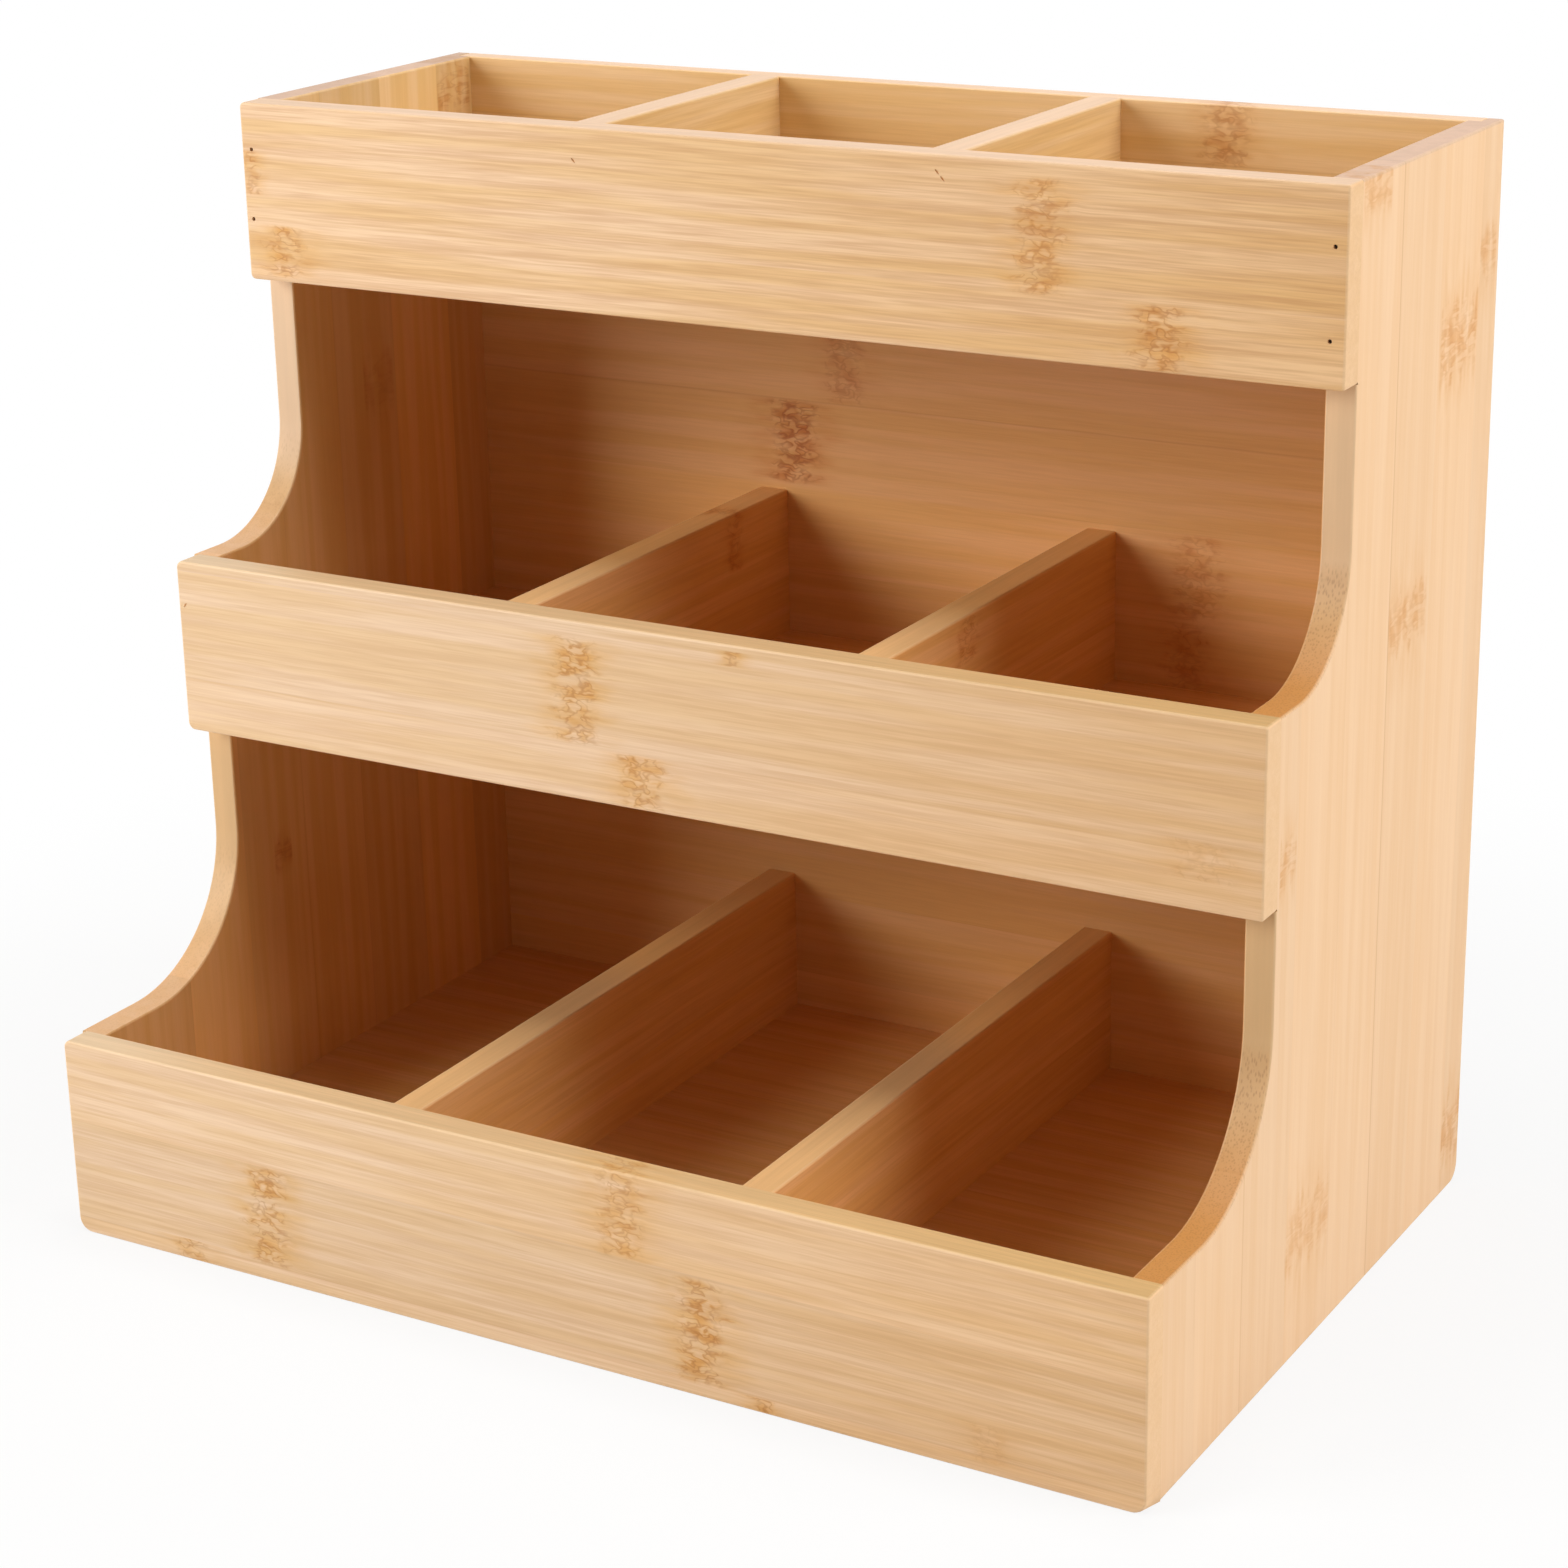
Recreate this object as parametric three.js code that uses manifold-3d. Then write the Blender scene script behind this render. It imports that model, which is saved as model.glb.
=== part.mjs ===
// A three-tier bamboo organizer: two scalloped side panels, a back, and on each tier a floor, a front
// rail and two dividers, glued together, with the rails nailed on by brads.
// Millimetres, +Z up. X runs across the front, Y from the front to the back, and the origin is in
// the middle of the base.
import * as THREE from "three";
import { mergeVertices } from "three/addons/utils/BufferGeometryUtils.js";
import Module from "manifold-3d";

const wasm = await Module();
wasm.setup();

// Overall size
const WIDTH = 320;
const DEPTH = 206;

// Board thicknesses
const SIDE_THICKNESS = 8;
const BACK_THICKNESS = 6;
const RAIL_THICKNESS = 8;
const FLOOR_THICKNESS = 6;
const DIVIDER_THICKNESS = 9;

// Tiers: the height of the lowest rail's top, the rise from tier to tier, the room above a floor,
// and how far the two upper rails stand behind the lower one
const LOWER_TIER_TOP = 56.4;
const TIER_PITCH = 118.3;
const COMPARTMENT_DEPTH = 42.3;
const MIDDLE_SETBACK = 61.5;
const TOP_SETBACK = 102.3;

// Rounded corners and scallops
const LOWER_SCALLOP_RADIUS = 40;
const MIDDLE_SCALLOP_RADIUS = 30;
const SIDE_HEEL_RADIUS = 5;
const RAIL_CORNER_RADIUS = 1.5;
const LOWER_RAIL_FOOT_RADIUS = 4;

// Joinery: grooves for the floors, rebates for the back, and the gap left at a hidden end
const GROOVE_DEPTH = 3;
const REBATE_DEPTH = 4;
const END_GAP = 0.3;

// Brads: the ones in the top rail sit in open holes, the others under a skin of filler
const BRAD_DIAMETER = 1.1;
const BRAD_HEAD_DIAMETER = 1.5;
const BRAD_HEAD_HEIGHT = 0.5;
const BRAD_POINT_LENGTH = 2;
const BRAD_LENGTH = 20;
const BRAD_SINK = 1.2;
const BRAD_HOLE_GAP = 0.3;
const FILLER_SKIN = 0.6;

// Facets on round work, and how far a cutter reaches past the face that it opens
const CORNER_SEGMENTS = 10;
const BRAD_SIDES = 10;
const OVERCUT = 1;

// Places that follow from the sizes above
const HEIGHT = LOWER_TIER_TOP + 2 * TIER_PITCH;
const FRONT = -DEPTH / 2;
const REAR = DEPTH / 2;
const SIDE_INNER_X = WIDTH / 2 - SIDE_THICKNESS;
const BACK_FRONT_Y = REAR - BACK_THICKNESS;
const BACK_BOTTOM = LOWER_TIER_TOP - COMPARTMENT_DEPTH - FLOOR_THICKNESS;
const COMPARTMENT_WIDTH = (2 * SIDE_INNER_X - 2 * DIVIDER_THICKNESS) / 3;
const DIVIDER_X = (COMPARTMENT_WIDTH + DIVIDER_THICKNESS) / 2;

// One tier from the height of its rail's top and the place of its rail's front face. A brad's place is
// its shift to the right of the middle of the board that it goes into, and its drop from the rail's
// top: they were driven by hand, so no two ends are alike.
function makeTier(name, setback, top, railBottom, footRadius, brads) {
  const railFront = FRONT + setback;
  const floorTop = top - COMPARTMENT_DEPTH;
  const floorBottom = floorTop - FLOOR_THICKNESS;
  const innerFront = railFront + RAIL_THICKNESS;
  return { name, railFront, innerFront, top, railBottom, floorTop, floorBottom, footRadius, ...brads };
}

const MIDDLE_TOP = LOWER_TIER_TOP + TIER_PITCH;
const UPPER_RAIL_HEIGHT = COMPARTMENT_DEPTH + FLOOR_THICKNESS;
const tiers = [
  makeTier("lower", 0, LOWER_TIER_TOP, 0, LOWER_RAIL_FOOT_RADIUS, {
    filled: true,
    leftSide: [{ shift: 0, drop: 13 }, { shift: 0, drop: 38 }],
    rightSide: [{ shift: 0, drop: 14 }, { shift: 0, drop: 39 }],
    leftDivider: [{ shift: 0, drop: 8 }],
    rightDivider: [{ shift: 0, drop: 8 }],
  }),
  makeTier("middle", MIDDLE_SETBACK, MIDDLE_TOP, MIDDLE_TOP - UPPER_RAIL_HEIGHT, RAIL_CORNER_RADIUS, {
    filled: true,
    leftSide: [{ shift: -1.8, drop: 12.4 }, { shift: 0, drop: 33 }],
    rightSide: [{ shift: 0, drop: 13 }, { shift: 0, drop: 34 }],
    leftDivider: [{ shift: 0, drop: 8 }],
    rightDivider: [{ shift: 0, drop: 7 }],
  }),
  makeTier("top", TOP_SETBACK, HEIGHT, HEIGHT - UPPER_RAIL_HEIGHT, RAIL_CORNER_RADIUS, {
    filled: false,
    leftSide: [{ shift: -0.8, drop: 12.6 }, { shift: -1.6, drop: 31.6 }],
    rightSide: [{ shift: 0.7, drop: 14.5 }, { shift: 0, drop: 36.7 }],
    leftDivider: [{ shift: -0.2, drop: 8.6 }],
    rightDivider: [{ shift: 1.9, drop: 5.1 }],
  }),
];
const [lowerTier, middleTier, topTier] = tiers;

// A closed geometry as a solid that can be cut
function solidFrom(geometry) {
  const bare = geometry.clone();
  bare.deleteAttribute("normal");
  bare.deleteAttribute("uv");
  const merged = mergeVertices(bare);
  const mesh = new wasm.Mesh({
    numProp: 3,
    vertProperties: merged.attributes.position.array,
    triVerts: new Uint32Array(merged.index.array),
  });
  return new wasm.Manifold(mesh);
}

// A geometry with a list of other geometries cut out of it
function cutGeometry(geometry, cutters) {
  let solid = solidFrom(geometry);
  for (const cutter of cutters) {
    solid = solid.subtract(solidFrom(cutter));
  }
  const mesh = solid.getMesh();
  const result = new THREE.BufferGeometry();
  result.setAttribute("position", new THREE.BufferAttribute(mesh.vertProperties, 3));
  result.setIndex(new THREE.BufferAttribute(mesh.triVerts, 1));
  result.computeVertexNormals();
  return result;
}

// A rectangular board, or a cutter, between two corners
function boxBetween(low, high) {
  const size = high.map((value, axis) => value - low[axis]);
  const middle = high.map((value, axis) => (value + low[axis]) / 2);
  return new THREE.BoxGeometry(...size).translate(...middle);
}

// A flat outline in Y and Z, made into a board between two places along X
function boardAlongX(outline, x0, x1) {
  const board = new THREE.ExtrudeGeometry(outline, {
    depth: x1 - x0,
    bevelEnabled: false,
    curveSegments: CORNER_SEGMENTS,
  });
  const turned = new THREE.Matrix4().makeBasis(
    new THREE.Vector3(0, 1, 0),
    new THREE.Vector3(0, 0, 1),
    new THREE.Vector3(1, 0, 0),
  );
  return board.applyMatrix4(turned).translate(x0, 0, 0);
}

// A flat outline in X and Z, made into a board between two places along Y
function boardAlongY(outline, y0, y1) {
  const board = new THREE.ExtrudeGeometry(outline, {
    depth: y1 - y0,
    bevelEnabled: false,
    curveSegments: CORNER_SEGMENTS,
  });
  return board.rotateX(Math.PI / 2).translate(0, y1, 0);
}

// The side panel's outline: its front edge stands behind each rail, drops straight from the rail
// above and sweeps forward in a quarter round to the level of the rail below
function sideOutline() {
  const outline = new THREE.Shape();
  const scallops = [
    [lowerTier, middleTier, LOWER_SCALLOP_RADIUS],
    [middleTier, topTier, MIDDLE_SCALLOP_RADIUS],
  ];
  outline.moveTo(REAR - SIDE_HEEL_RADIUS, 0);
  outline.absarc(REAR - SIDE_HEEL_RADIUS, SIDE_HEEL_RADIUS, SIDE_HEEL_RADIUS, -Math.PI / 2, 0, false);
  outline.lineTo(REAR, HEIGHT);
  outline.lineTo(topTier.innerFront, HEIGHT);
  for (const [below, above, radius] of scallops.reverse()) {
    const centreY = above.innerFront - radius;
    const centreZ = below.top + radius;
    outline.lineTo(above.innerFront, centreZ);
    outline.absarc(centreY, centreZ, radius, 0, -Math.PI / 2, true);
    outline.lineTo(below.innerFront, below.top);
  }
  outline.lineTo(lowerTier.innerFront, 0);
  outline.closePath();
  return outline;
}

// A rail's outline seen from the front, with its four corners rounded
function railOutline(bottom, top, footRadius) {
  const halfWidth = WIDTH / 2;
  const footX = halfWidth - footRadius;
  const shoulderX = halfWidth - RAIL_CORNER_RADIUS;
  const shoulderZ = top - RAIL_CORNER_RADIUS;
  const outline = new THREE.Shape();
  outline.moveTo(-footX, bottom);
  outline.absarc(footX, bottom + footRadius, footRadius, -Math.PI / 2, 0, false);
  outline.absarc(shoulderX, shoulderZ, RAIL_CORNER_RADIUS, 0, Math.PI / 2, false);
  outline.absarc(-shoulderX, shoulderZ, RAIL_CORNER_RADIUS, Math.PI / 2, Math.PI, false);
  outline.absarc(-footX, bottom + footRadius, footRadius, Math.PI, 1.5 * Math.PI, false);
  outline.closePath();
  return outline;
}

// A brad lying along Y with its head's face at the origin, grown all round by a gap for its hole
function bradGeometry(gap, headStart) {
  const headRadius = BRAD_HEAD_DIAMETER / 2 + gap;
  const shankRadius = BRAD_DIAMETER / 2 + gap;
  const neck = BRAD_HEAD_HEIGHT + gap;
  const profile = [
    new THREE.Vector2(0, headStart),
    new THREE.Vector2(headRadius, headStart),
    new THREE.Vector2(headRadius, neck),
    new THREE.Vector2(shankRadius, neck),
    new THREE.Vector2(shankRadius, BRAD_LENGTH - BRAD_POINT_LENGTH),
    new THREE.Vector2(0, BRAD_LENGTH + gap),
  ];
  return new THREE.LatheGeometry(profile, BRAD_SIDES);
}

const headY = (tier) => tier.railFront + BRAD_SINK;

// Where a tier's brads sit: two through each end of its rail and one into each divider
function bradPlaces(tier) {
  const sideX = WIDTH / 2 - SIDE_THICKNESS / 2;
  const sideEnds = ["_upper", "_lower"];
  const boards = [
    { joins: "left_side", x: -sideX, ends: sideEnds, brads: tier.leftSide },
    { joins: "right_side", x: sideX, ends: sideEnds, brads: tier.rightSide },
    { joins: "left_divider", x: -DIVIDER_X, ends: [""], brads: tier.leftDivider },
    { joins: "right_divider", x: DIVIDER_X, ends: [""], brads: tier.rightDivider },
  ];
  return boards.flatMap(({ joins, x, ends, brads }) =>
    brads.map(({ shift, drop }, index) => ({
      name: `${tier.name}_${joins}${ends[index]}_brad`,
      joins,
      x: x + shift,
      z: tier.top - drop,
    })),
  );
}

// The holes that a tier's brads need in the piece that they join, or in the rail itself. An open
// hole starts in front of the rail's face, and a filled one starts under the skin of filler.
function bradHoles(tier, joins) {
  const openStart = -BRAD_SINK - OVERCUT;
  const filledStart = FILLER_SKIN - BRAD_SINK;
  const start = tier.filled ? filledStart : openStart;
  const places = bradPlaces(tier).filter((place) => !joins || place.joins === joins);
  return places.map(({ x, z }) => bradGeometry(BRAD_HOLE_GAP, start).translate(x, headY(tier), z));
}

// The groove for a tier's floor, on the side of the given sign, open at the panel's front edge
function floorGroove(tier, sign) {
  const inner = sign * (SIDE_INNER_X - OVERCUT);
  const bottom = sign * (SIDE_INNER_X + GROOVE_DEPTH);
  return boxBetween(
    [Math.min(inner, bottom), tier.innerFront - OVERCUT, tier.floorBottom],
    [Math.max(inner, bottom), BACK_FRONT_Y, tier.floorTop],
  );
}

// The rebate along a side panel's rear edge that the back panel drops into
function backRebate(sign) {
  const inner = sign * (SIDE_INNER_X - OVERCUT);
  const bottom = sign * (SIDE_INNER_X + REBATE_DEPTH);
  return boxBetween(
    [Math.min(inner, bottom), BACK_FRONT_Y, BACK_BOTTOM],
    [Math.max(inner, bottom), REAR + OVERCUT, HEIGHT + OVERCUT],
  );
}

function sidePanel(sign) {
  const outer = (sign * WIDTH) / 2;
  const inner = sign * SIDE_INNER_X;
  const board = boardAlongX(sideOutline(), Math.min(inner, outer), Math.max(inner, outer));
  const joins = sign < 0 ? "left_side" : "right_side";
  const cutters = [backRebate(sign)];
  for (const tier of tiers) {
    cutters.push(floorGroove(tier, sign), ...bradHoles(tier, joins));
  }
  return cutGeometry(board, cutters);
}

function backPanel() {
  const halfWidth = SIDE_INNER_X + REBATE_DEPTH - END_GAP;
  return boxBetween([-halfWidth, BACK_FRONT_Y, BACK_BOTTOM], [halfWidth, REAR, HEIGHT]);
}

function frontRail(tier) {
  const outline = railOutline(tier.railBottom, tier.top, tier.footRadius);
  return cutGeometry(boardAlongY(outline, tier.railFront, tier.innerFront), bradHoles(tier));
}

function tierFloor(tier) {
  const halfWidth = SIDE_INNER_X + GROOVE_DEPTH - END_GAP;
  return boxBetween(
    [-halfWidth, tier.innerFront, tier.floorBottom],
    [halfWidth, BACK_FRONT_Y, tier.floorTop],
  );
}

function divider(tier, hand) {
  const x = hand === "left" ? -DIVIDER_X : DIVIDER_X;
  const board = boxBetween(
    [x - DIVIDER_THICKNESS / 2, tier.innerFront, tier.floorTop],
    [x + DIVIDER_THICKNESS / 2, BACK_FRONT_Y, tier.top],
  );
  return cutGeometry(board, bradHoles(tier, `${hand}_divider`));
}

// Finishes: planed bamboo with a satin varnish, a little darker on the inner boards, and steel
const finishes = {
  side: { color: 0xe8b983, roughness: 0.5, metalness: 0 },
  rail: { color: 0xe0b27c, roughness: 0.5, metalness: 0 },
  inner: { color: 0xd3a067, roughness: 0.55, metalness: 0 },
  steel: { color: 0x6f6a64, roughness: 0.4, metalness: 1 },
};

function addPiece(group, name, geometry, finish) {
  const mesh = new THREE.Mesh(geometry, new THREE.MeshStandardMaterial(finishes[finish]));
  mesh.name = name;
  group.add(mesh);
  return mesh;
}

const organizer = new THREE.Group();
addPiece(organizer, "left_side_panel", sidePanel(-1), "side");
addPiece(organizer, "right_side_panel", sidePanel(1), "side");
addPiece(organizer, "back_panel", backPanel(), "inner");
for (const tier of tiers) {
  const group = new THREE.Group();
  addPiece(group, `${tier.name}_front_rail`, frontRail(tier), "rail");
  addPiece(group, `${tier.name}_floor`, tierFloor(tier), "inner");
  addPiece(group, `${tier.name}_left_divider`, divider(tier, "left"), "inner");
  addPiece(group, `${tier.name}_right_divider`, divider(tier, "right"), "inner");
  for (const { name, x, z } of bradPlaces(tier)) {
    const brad = addPiece(group, name, bradGeometry(0, 0), "steel");
    brad.position.set(x, headY(tier), z);
  }
  organizer.add(group);
}

export default organizer;
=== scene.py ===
# %% [markdown]
# # A three-tier bamboo organizer
#
# The real object is glued up from thin bamboo boards: two scalloped sides, a back, and on each of three
# tiers a floor, a front rail and two dividers. Small brads hold the rails on. It could be modelled as one
# mesh, but then every board would share one grain and the seams would be lost, so each board is a piece of
# its own. The sizes come from a fixed frame, which is loaded first and is never changed.

# %% Load the fixed frame
import math

import bmesh
import bpy
from mathutils import Matrix, Vector


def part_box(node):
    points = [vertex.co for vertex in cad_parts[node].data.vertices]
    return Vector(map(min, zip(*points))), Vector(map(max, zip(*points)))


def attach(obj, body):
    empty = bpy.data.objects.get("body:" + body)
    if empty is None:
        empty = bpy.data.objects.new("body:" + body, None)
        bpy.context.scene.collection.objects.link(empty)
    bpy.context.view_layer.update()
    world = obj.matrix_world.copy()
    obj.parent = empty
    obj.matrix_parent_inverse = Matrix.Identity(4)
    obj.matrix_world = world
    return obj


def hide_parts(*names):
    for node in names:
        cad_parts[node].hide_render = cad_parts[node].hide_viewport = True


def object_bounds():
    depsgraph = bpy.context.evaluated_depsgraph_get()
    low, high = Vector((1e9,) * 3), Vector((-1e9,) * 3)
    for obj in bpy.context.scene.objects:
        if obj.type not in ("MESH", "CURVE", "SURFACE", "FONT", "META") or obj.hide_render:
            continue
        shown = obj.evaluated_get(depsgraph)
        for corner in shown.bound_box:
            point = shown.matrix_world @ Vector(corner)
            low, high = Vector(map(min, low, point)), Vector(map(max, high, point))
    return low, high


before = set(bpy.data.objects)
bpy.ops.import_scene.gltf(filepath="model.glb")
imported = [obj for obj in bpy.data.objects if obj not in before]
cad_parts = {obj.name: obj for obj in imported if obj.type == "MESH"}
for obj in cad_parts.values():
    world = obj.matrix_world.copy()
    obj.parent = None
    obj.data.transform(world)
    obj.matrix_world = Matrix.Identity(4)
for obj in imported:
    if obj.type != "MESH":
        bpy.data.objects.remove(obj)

MM = 0.001
cad_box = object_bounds()
whole_low, whole_high = cad_box
print("nodes in the frame:", len(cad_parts))
print("size in millimetres:", [round(side / MM, 1) for side in whole_high - whole_low])

# %% [markdown]
# ## The camera
#
# The photograph was taken from the right of the front, a little above the top board. A camera can be aimed
# at a point, but the picture also leans by about one degree, so the three turns are written out: round the
# object, down towards it, and the lean. A long lens keeps the boards' edges nearly parallel.

# %% Camera at the photograph's view
CAMERA_PLACE = Vector((0.4623, -0.7755, 0.4388))
CAMERA_ROUND = math.radians(30.46)
CAMERA_DOWN = math.radians(19.31)
CAMERA_LEAN = math.radians(-1.2)
LENS = 82.84
FILM_WIDTH = 36

camera = bpy.data.objects.new("photo_camera", bpy.data.cameras.new("photo_camera"))
camera.data.lens = LENS
camera.data.sensor_width = FILM_WIDTH
turn_round = Matrix.Rotation(CAMERA_ROUND, 4, "Z")
turn_down = Matrix.Rotation(math.pi / 2 - CAMERA_DOWN, 4, "X")
lean = Matrix.Rotation(CAMERA_LEAN, 4, "Z")
camera.matrix_world = Matrix.Translation(CAMERA_PLACE) @ turn_round @ turn_down @ lean
bpy.context.collection.objects.link(camera)
bpy.context.scene.camera = camera
bpy.context.scene.view_settings.view_transform = "Standard"
print("camera distance from the base in metres:", round(CAMERA_PLACE.length, 3))

# %% [markdown]
# ## Wiring nodes by name
#
# Materials are node trees. They can be clicked together in the shader editor, but in a script a few small
# helpers make a tree read like a formula: each helper adds one node, feeds it, and hands back its result.

# %% Helpers for values
def feed(tree, socket, value):
    """Links a socket to another one, or sets it to a plain value."""
    if isinstance(value, bpy.types.NodeSocket):
        tree.links.new(value, socket)
    else:
        socket.default_value = value


def calculate(tree, operation, *values):
    """The result of one Math node."""
    node = tree.nodes.new("ShaderNodeMath")
    node.operation = operation
    for socket, value in zip(node.inputs, values):
        feed(tree, socket, value)
    return node.outputs["Value"]


def fade(tree, value, zero_at, one_at):
    """A soft step from 0 to 1 between two values."""
    node = tree.nodes.new("ShaderNodeMapRange")
    node.interpolation_type = "SMOOTHSTEP"
    feed(tree, node.inputs["Value"], value)
    feed(tree, node.inputs["From Min"], zero_at)
    feed(tree, node.inputs["From Max"], one_at)
    return node.outputs["Result"]


def rescale(tree, value, low, high):
    """A value from 0 to 1, spread between two others."""
    node = tree.nodes.new("ShaderNodeMapRange")
    feed(tree, node.inputs["Value"], value)
    feed(tree, node.inputs["To Min"], low)
    feed(tree, node.inputs["To Max"], high)
    return node.outputs["Result"]


print("value helpers ready")


# %% Helpers for colours, places and noise
def mix(tree, amount, first, second, how="MIX"):
    """Two colours mixed by an amount."""
    node = tree.nodes.new("ShaderNodeMix")
    node.data_type = "RGBA"
    node.blend_type = how
    colours = [socket for socket in node.inputs if socket.type == "RGBA"]
    feed(tree, node.inputs["Factor"], amount)
    feed(tree, colours[0], first)
    feed(tree, colours[1], second)
    return next(socket for socket in node.outputs if socket.type == "RGBA")


def place(tree, along, across, through):
    """Three lengths as one place."""
    node = tree.nodes.new("ShaderNodeCombineXYZ")
    for socket, value in zip(node.inputs, (along, across, through)):
        feed(tree, socket, value)
    return node.outputs["Vector"]


def noise(tree, where, detail=2.0, distortion=0.0):
    """Soft noise from 0 to 1 with features about one unit across."""
    node = tree.nodes.new("ShaderNodeTexNoise")
    feed(tree, node.inputs["Vector"], where)
    node.inputs["Scale"].default_value = 1.0
    node.inputs["Detail"].default_value = detail
    node.inputs["Distortion"].default_value = distortion
    return node.outputs[0]


def paint(code):
    """A colour written as six hexadecimal digits, as Blender's linear red, green, blue and alpha, by the
    usual formula for screen colours."""
    parts = [int(code[start:start + 2], 16) / 255 for start in (0, 2, 4)]
    linear = [part / 12.92 if part <= 0.04045 else ((part + 0.055) / 1.055) ** 2.4 for part in parts]
    return (*linear, 1.0)


print("test colour:", [round(part, 3) for part in paint("e4be94")])

# %% Helpers for node groups
VALUE = "NodeSocketFloat"
COLOUR = "NodeSocketColor"


def new_group(name, inputs, outputs):
    """An empty node group, with the sockets that its inside starts from and ends in."""
    group = bpy.data.node_groups.new(name, "ShaderNodeTree")
    for label, kind in inputs.items():
        group.interface.new_socket(label, in_out="INPUT", socket_type=kind)
    for label, kind in outputs.items():
        group.interface.new_socket(label, in_out="OUTPUT", socket_type=kind)
    start = group.nodes.new("NodeGroupInput")
    end = group.nodes.new("NodeGroupOutput")
    return group, start.outputs, end.inputs


def use_group(tree, group, values):
    """Places a group in a tree, feeds it by its sockets' names, and hands back its outputs."""
    node = tree.nodes.new("ShaderNodeGroup")
    node.node_tree = group
    for label, value in values.items():
        feed(tree, node.inputs[label], value)
    return node.outputs


print("groups pass on", VALUE, "and", COLOUR)

# %% [markdown]
# ## Bamboo fibres
#
# A bamboo board is glued from strips about 28 mm wide. Inside a strip the fibres run almost straight, so the
# colour comes in long thin streaks, and each strip has a tone of its own. A wood texture with rings would be
# wrong here. Noise that is stretched along the grain gives the streaks: two noises for bold ones, one for
# fine fibres and one for broad bands of warmer colour. The strip's number shifts the noise, so that no streak
# runs on across a glue line, and a dice for each glue line makes some of them darker than others.

# %% Stretched noise, and dice that always fall the same way
NOISE_MIDDLE = 0.5


def streaks(tree, grain, sides, shift, size, detail, bend=0.0):
    """Noise that is stretched along the grain to streaks of a given length and thickness."""
    length, thickness = size
    across, through = sides
    along = calculate(tree, "ADD", calculate(tree, "DIVIDE", grain, length), shift)
    across = calculate(tree, "ADD", calculate(tree, "DIVIDE", across, thickness), shift)
    through = calculate(tree, "DIVIDE", through, thickness)
    return noise(tree, place(tree, along, across, through), detail, bend)


def swing(tree, wave, reach):
    """A noise as a swing to both sides, by half the reach at most."""
    return calculate(tree, "MULTIPLY", calculate(tree, "SUBTRACT", wave, NOISE_MIDDLE), reach)


def roll_dice(tree, number, seed):
    """A value from 0 to 1 that depends on a number and a seed alone."""
    dice = tree.nodes.new("ShaderNodeTexWhiteNoise")
    dice.noise_dimensions = "1D"
    feed(tree, dice.inputs["W"], calculate(tree, "ADD", number, seed))
    return dice.outputs["Value"]


print("stretched noise swings about", NOISE_MIDDLE)

# %% Group: bamboo_fibres, its sockets and strips
STRIP_JUMP = 31.0

fibre_inputs = {
    "Along": VALUE, "Across": VALUE, "Through": VALUE, "Seed": VALUE, "Strip Width": VALUE,
    "Strip Start": VALUE, "Darkest Strip": VALUE, "Glue": VALUE, "Ripple": VALUE, "Boldness": VALUE,
    "Fine Share": VALUE, "Pale": COLOUR, "Golden": COLOUR, "Deep": COLOUR,
}
bamboo_fibres, given, result = new_group("bamboo_fibres", fibre_inputs, {"Color": COLOUR, "Fibres": VALUE})
strip_place = calculate(bamboo_fibres, "SUBTRACT", given["Across"], given["Strip Start"])
strip_place = calculate(bamboo_fibres, "DIVIDE", strip_place, given["Strip Width"])
strip_number = calculate(bamboo_fibres, "FLOOR", strip_place)
strip_luck = roll_dice(bamboo_fibres, strip_number, given["Seed"])
strip_shift = calculate(bamboo_fibres, "MULTIPLY_ADD", strip_luck, STRIP_JUMP, given["Seed"])
print("bamboo_fibres takes", len(fibre_inputs), "inputs")

# %% Group: bamboo_fibres, its streaks
STREAK = (40 * MM, 0.95 * MM)
LONG_STREAK = (95 * MM, 2.1 * MM)
FINE_FIBRE = (14 * MM, 0.4 * MM)
BROAD_BAND = (110 * MM, 4.5 * MM)
STREAK_SHARE = 0.62
DRIFT_WAVE = (140 * MM, 30 * MM)
DRIFT_REACH = 1.4 * MM
RIPPLE_WAVE = (5 * MM, 6 * MM)
RIPPLE_REACH = 1.8 * MM

plain_sides = (given["Across"], given["Through"])
drift = streaks(bamboo_fibres, given["Along"], plain_sides, strip_shift, DRIFT_WAVE, detail=0.0)
drift = swing(bamboo_fibres, drift, DRIFT_REACH)
ripple = streaks(bamboo_fibres, given["Along"], plain_sides, strip_shift, RIPPLE_WAVE, detail=1.0)
ripple = calculate(bamboo_fibres, "MULTIPLY", swing(bamboo_fibres, ripple, RIPPLE_REACH), given["Ripple"])
wandering = calculate(bamboo_fibres, "ADD", given["Across"], calculate(bamboo_fibres, "ADD", drift, ripple))

sides = (wandering, given["Through"])
main_streaks = streaks(bamboo_fibres, given["Along"], sides, strip_shift, STREAK, detail=2.0)
long_streaks = streaks(bamboo_fibres, given["Along"], sides, strip_shift, LONG_STREAK, detail=1.0)
fine_fibres = streaks(bamboo_fibres, given["Along"], sides, strip_shift, FINE_FIBRE, detail=1.0)
broad_bands = streaks(bamboo_fibres, given["Along"], sides, strip_shift, BROAD_BAND, detail=1.0)
bold_streaks = calculate(bamboo_fibres, "MULTIPLY", main_streaks, STREAK_SHARE)
bold_streaks = calculate(bamboo_fibres, "MULTIPLY_ADD", long_streaks, 1 - STREAK_SHARE, bold_streaks)
fibres = rescale(bamboo_fibres, given["Fine Share"], bold_streaks, fine_fibres)
print("thinnest fibre in millimetres:", FINE_FIBRE[1] / MM)

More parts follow.
